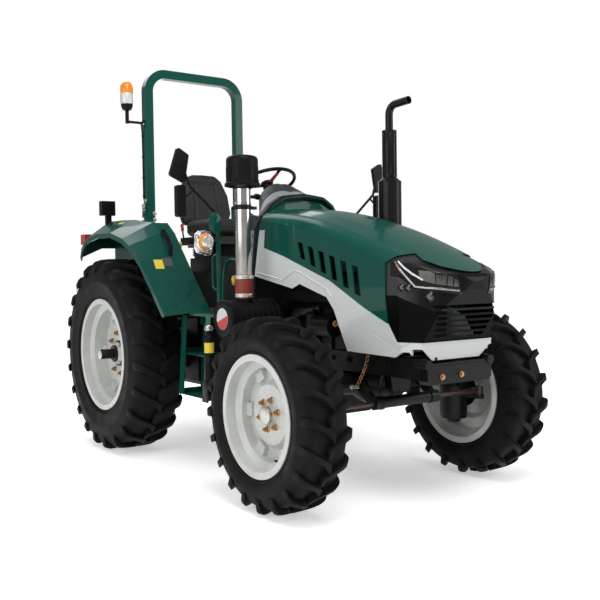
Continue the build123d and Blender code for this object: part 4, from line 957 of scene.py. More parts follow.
NOSE_TIP = high("hood_mask").x
for piece in lamp_pieces():
    name = piece.name
    piece.name = name + "_right"
    both_hands(piece, None, "lamp_lens", "hood", name + "_left")


def make_nose_finish():
    """Satin on the sides above a line that falls towards the tip, deep black and matt elsewhere."""
    tree = NOSE_TONE.node_tree
    shader = tree.nodes["Principled BSDF"]
    split = add(tree, "SeparateXYZ")
    tree.links.new(tree_place(tree), split.inputs[0])
    falling = arithmetic(tree, "SUBTRACT", 1.155 + 0.408 * (2.602 + AXLE_X),
        arithmetic(tree, "MULTIPLY", split.outputs["X"], 0.408))
    line = arithmetic(tree, "MINIMUM", falling, 1.157)
    above = ramp(tree, arithmetic(tree, "SUBTRACT", split.outputs["Z"], line), -0.0008, 0.0008)
    side = ramp(tree, split.outputs["X"], 2.62 + AXLE_X, 2.73 + AXLE_X, 1.0, 0.12)
    light = arithmetic(tree, "MULTIPLY", above, side)
    rest = [link.from_socket for link in tree.links if link.to_socket == shader.inputs["Base Color"]][0]
    tree.links.new(blended(tree, light, (0.0026, 0.0026, 0.0028), rest), shader.inputs["Base Color"])
    tree.links.new(ramp(tree, light, 0.0, 1.0, 0.04, 0.45), shader.inputs["Specular IOR Level"])


make_nose_finish()


# ------------------------------------------------------------------ pressed line of the skirt
SKIRT_LINE = [(1.314, 1.283), (1.39, 1.271), (1.459, 1.26), (1.53, 1.249), (1.598, 1.238), (1.66, 1.267),
    (1.722, 1.294), (1.774, 1.283), (1.84, 1.259), (1.904, 1.234), (1.97, 1.209), (2.036, 1.183),
    (2.07, 1.147)]


def make_skirt_line():
    """A pressed line that follows the skirt's lower edge."""
    places = [touch("hood_skirt", at(x, -0.6, z), (0, 1, 0)) for x, z in SKIRT_LINE]
    line = strip("skirt_line", places, 0.009, 0.003, 0.001, 0.35)
    both_hands(line, PALE_PAINT, "pale_paint", "hood")


make_skirt_line()

# ------------------------------------------------------------------ intake stack, precleaner and air cleaner
STACK = middle("intake_stack")
STACK_FOOT = Vector((STACK.x, STACK.y, 0))


def up_at(height):
    return Vector((STACK.x, STACK.y, height))


def make_clamp(name, height, radius, width=0.024):
    """A band clamp with its worm screw."""
    band = turned(name + "_band", [(radius, 0), (radius + 0.002, 0.001), (radius + 0.002, width - 0.001),
        (radius, width)], up_at(height), sides=56)
    case = block(name + "_case", (-0.014, radius, 0.002), (0.014, radius + 0.013, width - 0.002), 0.002)
    screw = rod(name + "_screw", (0.012, radius + 0.007, width / 2), (0.026, radius + 0.007, width / 2),
        0.0055, 6)
    for part in (case, screw):
        part.data.transform(posed(up_at(height), -70, "Z"))
    dressed(joined(name, [band, case, screw]), ZINC, "steel")


tube = turned("stack_tube", [(0.0495, 1.215), (0.0495, 1.7), (0.0515, 1.703), (0.0515, 1.712),
    (0.0495, 1.715), (0.0495, 1.8)], STACK_FOOT, sides=72)
dressed(tube, STAINLESS, "steel", "intake_stack")
sleeve = turned("stack_sleeve", [(0.0535, 1.126), (0.0545, 1.13), (0.0545, 1.15), (0.0555, 1.16),
    (0.0565, 1.185), (0.0565, 1.235), (0.055, 1.25), (0.054, 1.262), (0.054, 1.272)], STACK_FOOT, sides=72)
dressed(sleeve, ORANGE_HOSE, "steel")
make_clamp("lower_clamp", 1.134, 0.0555)
make_clamp("upper_clamp", 1.246, 0.056)
strap = turned("stack_strap", [(0.05, 0), (0.0545, 0.002), (0.0545, 0.026), (0.05, 0.028)], up_at(1.672),
    sides=56)
tab = block("strap_tab", (STACK.x - 0.012, STACK.y + 0.045, 1.676),
    (STACK.x + 0.012, STACK.y + 0.098, 1.696), 0.003)
ear = block("strap_ear", (STACK.x - 0.075, STACK.y - 0.034, 1.678),
    (STACK.x - 0.04, STACK.y - 0.018, 1.695), 0.003)
bolt = hex_bolt("strap_bolt", (STACK.x - 0.062, STACK.y - 0.034, 1.686), (0, -1, 0), 0.008, 0.007)
dressed(joined("strap", [strap, tab, ear, bolt]), BLACK_PAINT, "steel")


def make_precleaner():
    """A spin bowl under a lid, with its rim, clips and vanes."""
    bowl = turned("bowl", [(0.056, 1.8005), (0.06, 1.806), (0.094, 1.812), (0.1, 1.8145), (0.1095, 1.816),
        (0.1095, 1.833), (0.1065, 1.8365), (0.1005, 1.838), (0.0985, 1.846), (0.0978, 1.938),
        (0.099, 1.943), (0.099, 1.972), (0.0975, 1.982), (0.093, 1.992), (0.084, 1.999), (0.06, 2.0045),
        (0.02, 2.0075), (0.01, 2.0075)], STACK_FOOT, sides=96)
    clips = around(block("clip", (0.098, -0.011, 1.822), (0.1115, 0.011, 1.852), 0.003), STACK_FOOT, 4, 30)
    ribs = around(block("bowl_rib", (0.0965, -0.0022, 1.848), (0.1002, 0.0022, 1.936), 0.001), STACK_FOOT, 24)
    dressed(joined("precleaner_bowl", [bowl] + clips + ribs), BLACK_PLASTIC, "black_plastic", "precleaner")


make_precleaner()


def make_cleaner_cap():
    """The dished end cap of the air cleaner with its rings, catches and blank round label."""
    place = at(1.41, -0.6505, 1.005)
    cap = turned("cap", [(0.108, -0.03), (0.1175, -0.028), (0.1175, -0.006), (0.112, 0.0), (0.1, 0.003),
        (0.094, 0.003), (0.09, -0.002), (0.082, -0.004), (0.078, 0.0015), (0.03, 0.0015)], place,
        (0, -1, 0), 72)
    pieces = [cap]
    for i in range(3):
        angle = 35 + 120 * i
        catch = block(f"catch_{i}", (-0.012, -0.012, -0.006), (0.012, 0.03, 0.006), 0.003)
        catch.data.transform(posed(place + wheel_point(angle, 0.115, 0.008), 90 - angle))
        pieces.append(catch)
    dressed(joined("cleaner_cap", pieces), BLACK_PLASTIC, "black_plastic")
    pale = turned("cap_label", [(0.066, 0), (0.066, 0.0012), (0.06, 0.0014)],
        place + Vector((0, -0.0012, 0)), (0, -1, 0), 56)
    dressed(pale, LABEL_PALE, "black_plastic")
    edge = [place + wheel_point(200 + 9 * i, 0.065, -0.003) for i in range(21)]
    dressed(plate("cap_label_band", edge, (0, 0.0014, 0), 0), LABEL_RED, "black_plastic")


make_cleaner_cap()

# ------------------------------------------------------------------ exhaust
MUFFLER = at(1.73, 0.43, 0)


def make_exhaust_guard():
    """A slotted heat guard round the pipe, its end rings and the seams of the muffler."""
    slat = block("guard_slat", (0.0445, -0.0075, 1.905), (0.0475, 0.0075, 2.178), 0.0012)
    pieces = around(slat, MUFFLER, 12)
    for height in (1.892, 2.176):
        pieces.append(turned(f"guard_ring_{height}", [(0.0455, 0), (0.0485, 0.001), (0.0485, 0.015),
            (0.0455, 0.016)], MUFFLER + Vector((0, 0, height))))
    for height in (1.224, 1.856):
        pieces.append(turned(f"muffler_seam_{height}", [(0.0745, 0), (0.078, 0.001), (0.078, 0.006),
            (0.0745, 0.007)], MUFFLER + Vector((0, 0, height)), sides=64))
    dressed(joined("exhaust_trim", pieces), BLACK_PAINT, "black_paint")


make_exhaust_guard()

# ------------------------------------------------------------------ seat
def stuffed(obj, reach, pressure=4.0):
    """A closed form filled like a pad: cloth pressed out from inside, no point further than reach."""
    remesh = obj.modifiers.new("remesh", "REMESH")
    remesh.mode = "VOXEL"
    remesh.voxel_size = 0.006
    apply_modifiers(obj)
    before = [vertex.co.copy() for vertex in obj.data.vertices]
    cloth = obj.modifiers.new("cloth", "CLOTH")
    cloth.settings.use_pressure = True
    cloth.settings.uniform_pressure_force = pressure
    cloth.settings.effector_weights.gravity = 0
    cloth.point_cache.frame_start = 1
    cloth.point_cache.frame_end = 20
    for number in range(1, 21):
        scene.frame_set(number)
    apply_modifiers(obj)
    scene.frame_set(1)
    for vertex, place in zip(obj.data.vertices, before):
        shift = vertex.co - place
        if shift.length > reach:
            vertex.co = place + shift * (reach / shift.length)
    return obj


def sewn(obj, distance, depth, width):
    """Presses a seam into a pad where distance(place) is small."""
    normals = [vertex.normal.copy() for vertex in obj.data.vertices]
    for vertex, normal in zip(obj.data.vertices, normals):
        away = distance(vertex.co) / width
        if abs(away) < 3:
            vertex.co -= normal * depth * math.exp(-away * away)
    return obj


BACK_PLACE = posed(at(0.046, 0, 1.64), -9)
BACK_EDGE = [(-0.198, 0.006), (-0.236, 0.11), (-0.223, 0.258), (-0.17, 0.38), (-0.112, 0.424), (0, 0.43),
    (0.112, 0.424), (0.17, 0.38), (0.223, 0.258), (0.236, 0.11), (0.198, 0.006)]


def make_seat():
    """A cushion and a tall tapered back, stuffed, with two upright seams and a cross seam."""
    cushion = block("seat_cushion_pad", (-0.194, -0.225, 0.008), (0.194, 0.225, 0.118), 0.04, 5)
    cushion.data.transform(Matrix.Translation(at(0.3, 0, 1.56)))
    stuffed(cushion, 0.011)
    subdivided(cushion)
    for y in (-0.125, 0.125):
        sewn(cushion, lambda p, y=y: p.y - y if p.z > 1.62 else 9, 0.007, 0.011)
    sewn(cushion, lambda p: p.z - 1.618, 0.003, 0.004)
    sewn(cushion, lambda p: (p.x - AXLE_X) - 0.435 if p.z > 1.63 and abs(p.y) < 0.125 else 9, 0.005, 0.009)
    dressed(smooth(cushion, 70), SEAT_VINYL, "seat_vinyl", "seat_cushion")
    back = plate("seat_back_pad", [(0.038, y, z) for y, z in BACK_EDGE], (-0.076, 0, 0), 0.024, 4)
    stuffed(back, 0.012)
    subdivided(back)
    for y in (-0.088, 0.088):
        sewn(back, lambda p, y=y: p.y - y * (1.25 - p.z * 0.8) if p.x > 0.02 and p.z < 0.342 else 9, 0.007,
            0.01)
    sewn(back, lambda p: p.z - 0.342 - 0.25 * p.y * p.y if p.x > 0.02 else 9, 0.007, 0.009)
    sewn(back, lambda p: p.x - 0.012, 0.003, 0.004)
    back.data.transform(BACK_PLACE)
    dressed(smooth(back, 70), SEAT_VINYL, "seat_vinyl", "seat_back")


make_seat()


def make_seat_trim():
    """Belt buckle with its stalk, a spring, slide rails, an adjusting lever and a belt reel."""
    stalk = hose("buckle_stalk", [(0.15, -0.244, 1.52), (0.14, -0.25, 1.57), (0.13, -0.249, 1.612)], 0.006)
    dressed(stalk, BLACK_PLASTIC, "black_plastic")
    buckle = block("buckle", (-0.013, -0.008, -0.024), (0.013, 0.008, 0.03), 0.004, 3)
    buckle.data.transform(posed(at(0.128, -0.249, 1.63), -12))
    dressed(buckle, BRAKE_RED, "red_lens")
    coil = []
    for i in range(61):
        turn = i / 60 * 2 * math.pi * 7
        coil.append((0.02 + 0.01 * math.cos(turn), -0.262 + 0.01 * math.sin(turn), 1.5 + 0.1 * i / 60))
    dressed(hose("seat_spring", coil, 0.0018, 3, 3), ZINC, "steel")
    pieces = []
    for y in (-0.12, 0.12):
        pieces.append(block("rail", at(-0.01, y - 0.014, 1.482), at(0.42, y + 0.014, 1.499), 0.002))
    pieces.append(hose("seat_lever", [(0.38, -0.1, 1.49), (0.44, -0.11, 1.488), (0.48, -0.15, 1.5)], 0.006))
    reel = block("belt_reel", at(-0.045, 0.232, 1.5), at(0.03, 0.268, 1.61), 0.01, 3)
    for i in range(9):
        z = 1.412 + i * 0.0095
        pieces.append(block(f"bellows_{i}", at(0.082 - 0.006 * (i % 2), -0.136 - 0.006 * (i % 2), z),
            at(0.378 + 0.006 * (i % 2), 0.136 + 0.006 * (i % 2), z + 0.009), 0.004, 2))
    dressed(joined("seat_frame_trim", pieces + [reel]), BLACK_PLASTIC, "black_plastic")
    arm = hose("buckle_mount", [(0.15, -0.244, 1.53), (0.16, -0.215, 1.524), (0.17, -0.186, 1.524)], 0.007)
    dressed(arm, BLACK_PAINT, "black_paint")


make_seat_trim()

# ------------------------------------------------------------------ steering wheel and column
COLUMN_TILT = 24             # degrees that the column leans back
RIM_RADIUS, RIM_THICKNESS = 0.198, 0.0125
WHEEL_TURN = posed(at(0.93, 0, 1.905), -COLUMN_TILT)


def make_steering_wheel():
    """A gripped rim, three shaped spokes and a hub with a cap."""
    bpy.ops.mesh.primitive_torus_add(major_radius=RIM_RADIUS, minor_radius=RIM_THICKNESS,
        major_segments=120, minor_segments=16)
    rim = settle(started("wheel_rim"))
    for vertex in rim.data.vertices:
        turn = math.atan2(vertex.co.y, vertex.co.x)
        flat = Vector((vertex.co.x, vertex.co.y, 0))
        inner = max(0.0, RIM_RADIUS - flat.length) / RIM_THICKNESS
        vertex.co += flat.normalized() * inner * 0.0025 * (0.5 + 0.5 * math.cos(turn * 30))
    pieces = [smooth(rim, 60)]
    for i, angle in enumerate((0, 120, 240)):
        half = [(0.026, 0.017, -0.016), (0.08, 0.013, -0.013), (0.14, 0.01, -0.006), (0.192, 0.016, 0.0)]
        points = [(x, -w, z) for x, w, z in half] + [(x, w, z) for x, w, z in reversed(half)]
        spoke = plate(f"spoke_{i}", points, (0, 0, 0.008), 0.0025, 3)
        spoke.data.transform(Matrix.Rotation(math.radians(angle), 4, "Z"))
        pieces.append(spoke)
    pieces.append(turned("wheel_hub", [(0.03, -0.044), (0.034, -0.04), (0.036, -0.018), (0.044, -0.01),
        (0.046, 0.0), (0.043, 0.005), (0.036, 0.007), (0.034, 0.0045), (0.012, 0.008)], (0, 0, 0)))
    wheel = joined("steering_wheel_rim", pieces)
    wheel.data.transform(WHEEL_TURN)
    dressed(wheel, BLACK_PLASTIC, "black_plastic", "steering_wheel", body="steering_wheel")
    inlay = plate("spoke_inlay", [(0.05, -0.019, -0.0185), (0.15, -0.015, -0.009), (0.15, 0.01, -0.009),
        (0.05, 0.012, -0.0185)], (0, 0, 0.007), 0.001)
    inlay.data.transform(WHEEL_TURN)
    dressed(inlay, ORANGE_INLAY, "red_lens", body="steering_wheel")


def make_column_levers():
    """A shuttle lever, a light switch and the column's folded boot."""
    lever = hose("shuttle_arm", [(0.972, 0.02, 1.79), (0.965, 0.08, 1.8), (0.96, 0.15, 1.822)], 0.006)
    knob = turned("shuttle_knob", [(0.008, -0.03), (0.015, -0.024), (0.019, -0.008), (0.019, 0.006),
        (0.013, 0.02), (0.005, 0.024)], at(0.959, 0.168, 1.828), (0, 0.95, 0.3), 28)
    other = hose("light_arm", [(0.985, -0.02, 1.78), (0.982, -0.06, 1.792), (0.98, -0.092, 1.8)], 0.006)
    grip = turned("light_knob", [(0.01, -0.03), (0.017, -0.022), (0.021, -0.004), (0.019, 0.016),
        (0.01, 0.028)], at(0.98, -0.112, 1.803), (0, -0.98, 0.15), 28)
    boot = turned("column_boot", [(0.03, 0), (0.062, 0.004), (0.058, 0.016), (0.048, 0.026), (0.05, 0.034),
        (0.04, 0.046), (0.042, 0.054), (0.03, 0.07), (0.027, 0.078)], at(1.006, 0, 1.735),
        (-math.sin(math.radians(COLUMN_TILT)), 0, math.cos(math.radians(COLUMN_TILT))), 40)
    dressed(joined("column_levers", [lever, knob, other, grip, boot]), BLACK_PLASTIC, "black_plastic")


make_steering_wheel()
make_column_levers()

# ------------------------------------------------------------------ dash, arch and console
ARCH = [(-0.338, 1.24), (-0.338, 1.4), (-0.338, 1.565), (-0.306, 1.645), (-0.242, 1.728), (-0.162, 1.775),
    (0, 1.792), (0.162, 1.775), (0.242, 1.728), (0.306, 1.645), (0.338, 1.565), (0.338, 1.4),
    (0.338, 1.24)]


def arch_x(z):
    """Where the arch's front edge is at this height, counted from the rear axle."""
    return 1.262 + (z - 1.262) * 0.16


def arch_places(ahead):
    """Places along the arch, this far ahead of its front edge, and the ways out of its skin there."""
    pairs = []
    for point in spread([Vector((0, y, z)) for y, z in ARCH], 73):
        away = Vector((0, point.y, (point.z - 1.5) if point.z > 1.565 else 0)).normalized()
        pairs.append((at(arch_x(point.z) + ahead, point.y, point.z), away))
    return pairs


def make_arch_seal():
    """The black rubber band that the hood's rear edge closes on."""
    crown = [pair for pair in arch_places(0.009) if pair[0].z > 1.628]
    rubber = strip("arch_seal", crown, 0.042, 0.0042, 0.028, 0.86)
    pieces = [rubber]
    for side in SIDES:
        leg = [pair for pair in arch_places(-0.004) if pair[0].z <= 1.636 and pair[0].y * side > 0]
        pieces.append(strip(f"arch_seal_{side}", leg, 0.017, 0.0042, 0.001, 0.8))
    dressed(joined("arch_rubber", pieces), BLACK_HOSE, "black_plastic")


def make_arch_covers():
    """A slotted cover strip on either leg of the arch; its slots are black bars of painted shade, not cut
    openings.
    """
    heights = (1.246, 1.35, 1.45, 1.556)
    for side in SIDES:
        edge = [at(arch_x(z) - 0.0335, side * 0.3383, z) for z in heights]
        edge += [at(arch_x(z) - 0.0135, side * 0.3383, z) for z in reversed(heights)]
        cover = plate(f"arch_cover_{side}", edge, (0, side * 0.0022, 0), 0.0008)
        dressed(cover, CONSOLE_PLASTIC, "dash_plastic")
        # Painted shade: each slot is a black bar laid on the cover where an opening would show the dark
        # inside.
        slot_shade_bars = []
        for z in (1.285, 1.33, 1.392, 1.45, 1.505):
            x = arch_x(z) - 0.024
            y = side * 0.3412
            slot_shade_bars.append(block("cover_slot", at(x - 0.003, y - 0.0012, z),
                at(x + 0.004, y + 0.0012, z + 0.026), 0.001))
        dressed(joined(f"cover_slots_{side}", slot_shade_bars), BLACK_PLASTIC, "black_plastic")


make_arch_seal()
make_arch_covers()


def make_cowl_face():
    """The green face that closes the arch above the hood's rear edge."""
    line = spread([Vector((y, z, 0)) for y, z in ARCH], 400)
    rows = []
    for share in (0, 0.5, 1):
        row = []
        for i in range(41):
            y = -0.288 + 0.576 * i / 40
            crown = min(line, key=lambda p: abs(p.x - y * 1.055)).y - 0.0195
            foot = 1.69 - 0.58 * y * y
            row.append(at(1.366 - 0.014 * share * share, y, foot + (crown - foot) * share))
        rows.append(row)
    face = thickened(outward(skin("cowl_face", rows)), 0.004, 0.0)
    dressed(smooth(face, 40), GREEN_PAINT, "green_paint")


make_cowl_face()


def make_dome_edge():
    """A lighter edge to the dome over the dash."""
    rows = []
    for back in (0.052, 0.06, 0.078, 0.098, 0.114, 0.122):
        row = []
        for i in range(41):
            turn = math.radians(-64 + 128 * i / 40)
            x = 1.262 + 0.075 - back
            start = at(x, math.sin(turn) * 0.6, 1.5 + math.cos(turn) * 0.6)
            place, normal = touch("dash_cowl", start, (0, -math.sin(turn), -math.cos(turn)))
            row.append(place + normal * (0.0032 if 0.055 < back < 0.12 else 0.0008))
        rows.append(row)
    edge = smooth(thickened(outward(skin("dome_edge", rows)), 0.003), 50)
    dressed(edge, CONSOLE_PLASTIC, "dash_plastic")


def make_dial_panel():
    """An instrument panel with three dials and a row of switches."""
    turn = posed(at(1.046, 0, 1.8), -90)
    board = block("dial_board", (-0.075, -0.105, -0.006), (0.045, 0.105, 0.006), 0.006, 3)
    pieces = [board]
    for y, radius in ((-0.058, 0.034), (0.058, 0.034), (0, 0.022)):
        pieces.append(turned("dial_ring", [(radius, 0.0), (radius + 0.003, 0.004), (radius + 0.002, 0.008),
            (radius - 0.002, 0.008), (radius - 0.003, 0.005)], (-0.012, y, 0.004), sides=40))
    for i in range(5):
        pieces.append(block(f"switch_{i}", (-0.066, -0.084 + 0.036 * i, 0.004),
            (-0.046, -0.06 + 0.036 * i, 0.011), 0.0025))
    panel = joined("dial_panel", pieces)
    panel.data.transform(turn)
    dressed(panel, BLACK_PLASTIC, "black_plastic")
    for i, (y, radius) in enumerate(((-0.058, 0.031), (0.058, 0.031), (0, 0.019))):
        glass = turned(f"dial_face_{i}", [(radius, 0), (radius, 0.0015), (radius - 0.002, 0.002)],
            (-0.012, y, 0.0095), sides=40)
        glass.data.transform(turn)
        dressed(glass, GLOSS_BLACK, "black_plastic")


def make_console_sides():
    """A slotted and clipped cover on either side of the console; its slots are black bars of painted shade,
    not cut openings.
    """
    outer = [(1.19, 1.045), (1.19, 1.54), (1.222, 1.556), (1.262, 1.556), (1.24, 1.24), (1.214, 1.045)]
    for side in SIDES:
        y = side * 0.3185
        cover = plate(f"console_side_{side}", [at(x, y, z) for x, z in outer], (0, side * 0.004, 0), 0.0012)
        dressed(cover, CONSOLE_PLASTIC, "dash_plastic")
        slots = []
        # Painted shade: each slot is a black bar laid on the cover; the clip heads below are real parts.
        for z in (1.115, 1.23, 1.345, 1.46):
            slots.append(block("slot", at(1.202, y + side * 0.0036 - 0.001, z),
                at(1.211, y + side * 0.0036 + 0.001, z + 0.058), 0.0008))
        for z in (1.075, 1.3, 1.525):
            slots.append(turned("clip_head", [(0.01, 0), (0.01, 0.002), (0.006, 0.004), (0.002, 0.0042)],
                at(1.206, y + side * 0.0038, z), (0, side, 0), 24))
        dressed(joined(f"console_slots_{side}", slots), BLACK_PLASTIC, "black_plastic")


make_dome_edge()
make_dial_panel()
make_console_sides()


# ------------------------------------------------------------------ controls on the platform
def make_mat():
    """A ribbed rubber mat on the platform."""
    mat = [block("mat_sheet", at(0.646, -0.47, 1.0305), at(1.205, 0.47, 1.0365), 0.0025)]
    for i in range(17):
        x = 0.672 + i * 0.032
        mat.append(block(f"mat_rib_{i}", at(x, -0.455, 1.0355), at(x + 0.012, 0.455, 1.0395), 0.0015))
    dressed(joined("platform_mat", mat), RUBBER_MAT, "black_plastic")


def make_pedals():
    """A clutch pedal on the left and two brake pedals on the right, with ribbed pads."""
    for name, y in (("clutch_pedal", 0.19), ("brake_pedal_left", -0.13), ("brake_pedal_right", -0.215)):
        arm = hose(name + "_arm", [(1.205, y, 1.33), (1.13, y, 1.23), (1.09, y, 1.17)], 0.009)
        pad = block(name + "_pad", (-0.036, -0.034, -0.006), (0.036, 0.034, 0.006), 0.004, 3)
        pieces = [arm, pad]
        for i in range(4):
            x = -0.03 + i * 0.018
            pieces.append(block("pad_rib", (x, -0.03, 0.005), (x + 0.006, 0.03, 0.009), 0.0015))
        turn = posed(at(1.084, y, 1.164), -48)
        for piece in pieces[1:]:
            piece.data.transform(turn)
        dressed(joined(name, pieces), BLACK_PAINT, "black_paint")


def make_levers():
    """Levers with coloured knobs beside the seat and under the dash."""
    levers = [
        ("lift_lever", [(0.18, -0.4, 1.3), (0.2, -0.405, 1.4), (0.26, -0.412, 1.48)], BRAKE_RED),
        ("speed_lever", [(0.29, -0.38, 1.3), (0.31, -0.385, 1.4), (0.35, -0.392, 1.47)], LABEL_YELLOW),
        ("range_lever", [(0.23, 0.38, 1.3), (0.25, 0.385, 1.4), (0.3, 0.392, 1.48)], BLACK_PLASTIC),
        ("drive_lever", [(0.35, 0.36, 1.3), (0.36, 0.365, 1.38), (0.39, 0.372, 1.44)], BLACK_PLASTIC),
        ("low_lever", [(0.96, -0.29, 1.036), (0.966, -0.298, 1.15), (0.966, -0.3, 1.215)], LABEL_YELLOW),
        ("foot_throttle", [(1.12, -0.33, 1.038), (1.08, -0.33, 1.08), (1.06, -0.33, 1.11)], BLACK_PLASTIC),
    ]
    for name, points, tip in levers:
        places = [at(*point) for point in points]
        dressed(hose(name, points, 0.0065), BLACK_PAINT, "black_paint")
        ahead = (places[-1] - places[-2]).normalized()
        knob = turned(name + "_knob", [(0.009, -0.008), (0.013, 0.0), (0.017, 0.014), (0.018, 0.034),
            (0.014, 0.05), (0.005, 0.056)], places[-1] - ahead * 0.006, ahead, 28)
        dressed(knob, tip, "black_plastic")


def make_lever_gates():
    """A screwed gate plate under the levers of either side, and the rail beside the steps."""
    for side in SIDES:
        y = side * 0.395
        slots = [block("lever_gate", at(0.14, y - 0.04, 1.2905), at(0.4, y + 0.04, 1.2995), 0.004, 3)]
        for i in range(4):
            slots.append(turned("gate_screw", [(0.006, 0), (0.006, 0.002), (0.003, 0.003)],
                at(0.155 + 0.23 * (i % 2), y + (0.03 if i > 1 else -0.03), 1.299), sides=16))
        dressed(joined(f"lever_gates_{side}", slots), BLACK_PLASTIC, "black_plastic")
    rail = hose("foot_rail", [(0.9, -0.35, 1.034), (0.9, -0.35, 1.18), (0.925, -0.35, 1.33),
        (1.0, -0.35, 1.378), (1.1, -0.345, 1.36), (1.212, -0.325, 1.345)], 0.011)
    dressed(rail, GREEN_PAINT, "green_paint")


make_mat()
make_pedals()
make_levers()
make_lever_gates()

# ------------------------------------------------------------------ fender trim, right then mirrored
OVER = Vector((0.72, -0.12, 0.69))       # from the right fender's crown up and ahead
FENDER_INNER_Y = -0.4725


def fender_line(points, direction=OVER):
    """Places and normals on the right fender under a row of points."""
    return [touch("fenders", at(*point) + direction * 0.25, -direction) for point in points]


def sticker(name, centre, width, height, material, direction=OVER):
    """A thin blank label that follows the right fender under it."""
    place, normal = touch("fenders", at(*centre) + direction * 0.25, -direction)
    base = facing(normal, place)
    rows = []
    for j in range(7):
        row = []
        for i in range(7):
            spot = base @ Vector((width * (i / 6 - 0.5), height * (j / 6 - 0.5), 0.05))
            found, slope = touch("fenders", spot, -normal)
            row.append(found + slope * 0.0012)
        rows.append(row)
    obj = thickened(outward(skin(name, rows)), 0.001)
    dressed(smooth(obj, 40), material, "black_plastic")


def make_fender_trim():
    """Pressed beads, a hoop near the foot, bolts and a gripped handle, on both sides."""
    bead = strip("fender_bead", fender_line([(0.44, -0.722, 1.524), (0.48, -0.712, 1.496),
        (0.537, -0.703, 1.45), (0.604, -0.699, 1.391)]), 0.011, 0.004, 0.001, 0.5)
    foot = strip("fender_bead_low", fender_line([(0.688, -0.696, 1.306), (0.74, -0.694, 1.251),
        (0.8, -0.692, 1.186), (0.836, -0.69, 1.146)]), 0.011, 0.004, 0.001, 0.5)
    upper = strip("fender_bead_top", fender_line(
        [(-0.222, -0.659, 1.667), (-0.14, -0.668, 1.662), (-0.06, -0.68, 1.655), (0.03, -0.696, 1.64)],
        Vector((0.1, -0.4, 0.9)).normalized()), 0.009, 0.0032, 0.001, 0.55)
    hoop = strip("fender_hoop", fender_line([(0.885, -0.76, 1.092), (0.9, -0.752, 1.08),
        (0.905, -0.735, 1.075), (0.908, -0.71, 1.072), (0.904, -0.69, 1.076), (0.918, -0.68, 1.062),
        (0.934, -0.678, 1.046)]), 0.007, 0.0045, 0.001, 0.5)
    for obj in (bead, foot, upper, hoop):
        both_hands(obj, GREEN_PAINT, "green_paint")
    handle = hose("grab_handle", [(0.492, -0.59, 1.556), (0.488, -0.59, 1.59), (0.5, -0.59, 1.588),
        (0.555, -0.59, 1.535), (0.606, -0.59, 1.482), (0.606, -0.59, 1.455), (0.598, -0.59, 1.404)],
        0.0145, 8, 10)
    handles = joined("grab_handle_grips", [handle, mirrored(handle, "grab_handle_left")])
    dressed(handles, BLACK_PLASTIC, "black_paint", "grab_handles")
    spots = ((0.56, 1.18), (0.3, 1.42), (0.02, 1.52), (-0.26, 1.5))
    bolts = [hex_bolt("fender_bolt", at(x, FENDER_INNER_Y, z), (0, 1, 0), 0.01, 0.008) for x, z in spots]
    both_hands(joined("fender_bolts", bolts), ZINC, "steel")


make_fender_trim()
sticker("label_yellow", (0.646, -0.699, 1.351), 0.062, 0.086, LABEL_YELLOW)
sticker("label_grey", (0.64, -0.632, 1.362), 0.066, 0.072, LABEL_GREY)
sticker("label_top", (-0.075, -0.655, 1.665), 0.075, 0.03, LABEL_YELLOW,
        Vector((0, -0.4, 0.92)).normalized())


# ------------------------------------------------------------------ mirrors, lamps and beacon
def make_mirror_glass():
    """The faces of the two mirrors on the right arm, and their twins."""
    big = [(-0.819, 2.052), (-0.757, 2.015), (-0.784, 1.862), (-0.866, 1.899)]
    glass = upright("mirror_glass_big", 1.1662, big, -0.0016, 0.0006)
    small = [(-0.824, 1.648), (-0.78, 1.648), (-0.78, 1.82), (-0.824, 1.82)]
    low_glass = upright("mirror_glass_small", 1.1562, small, -0.0016, 0.0006)
    both_hands(joined("mirror_glass_right", [glass, low_glass]), MIRROR_GLASS, "rod_chrome",
        left="mirror_glass_left")


make_mirror_glass()
LAMP = at(1.2, -0.652, 1.476)
CAP_SHIFT = Vector((0, -0.002, 0.004))       # from the housing's middle to the lens's


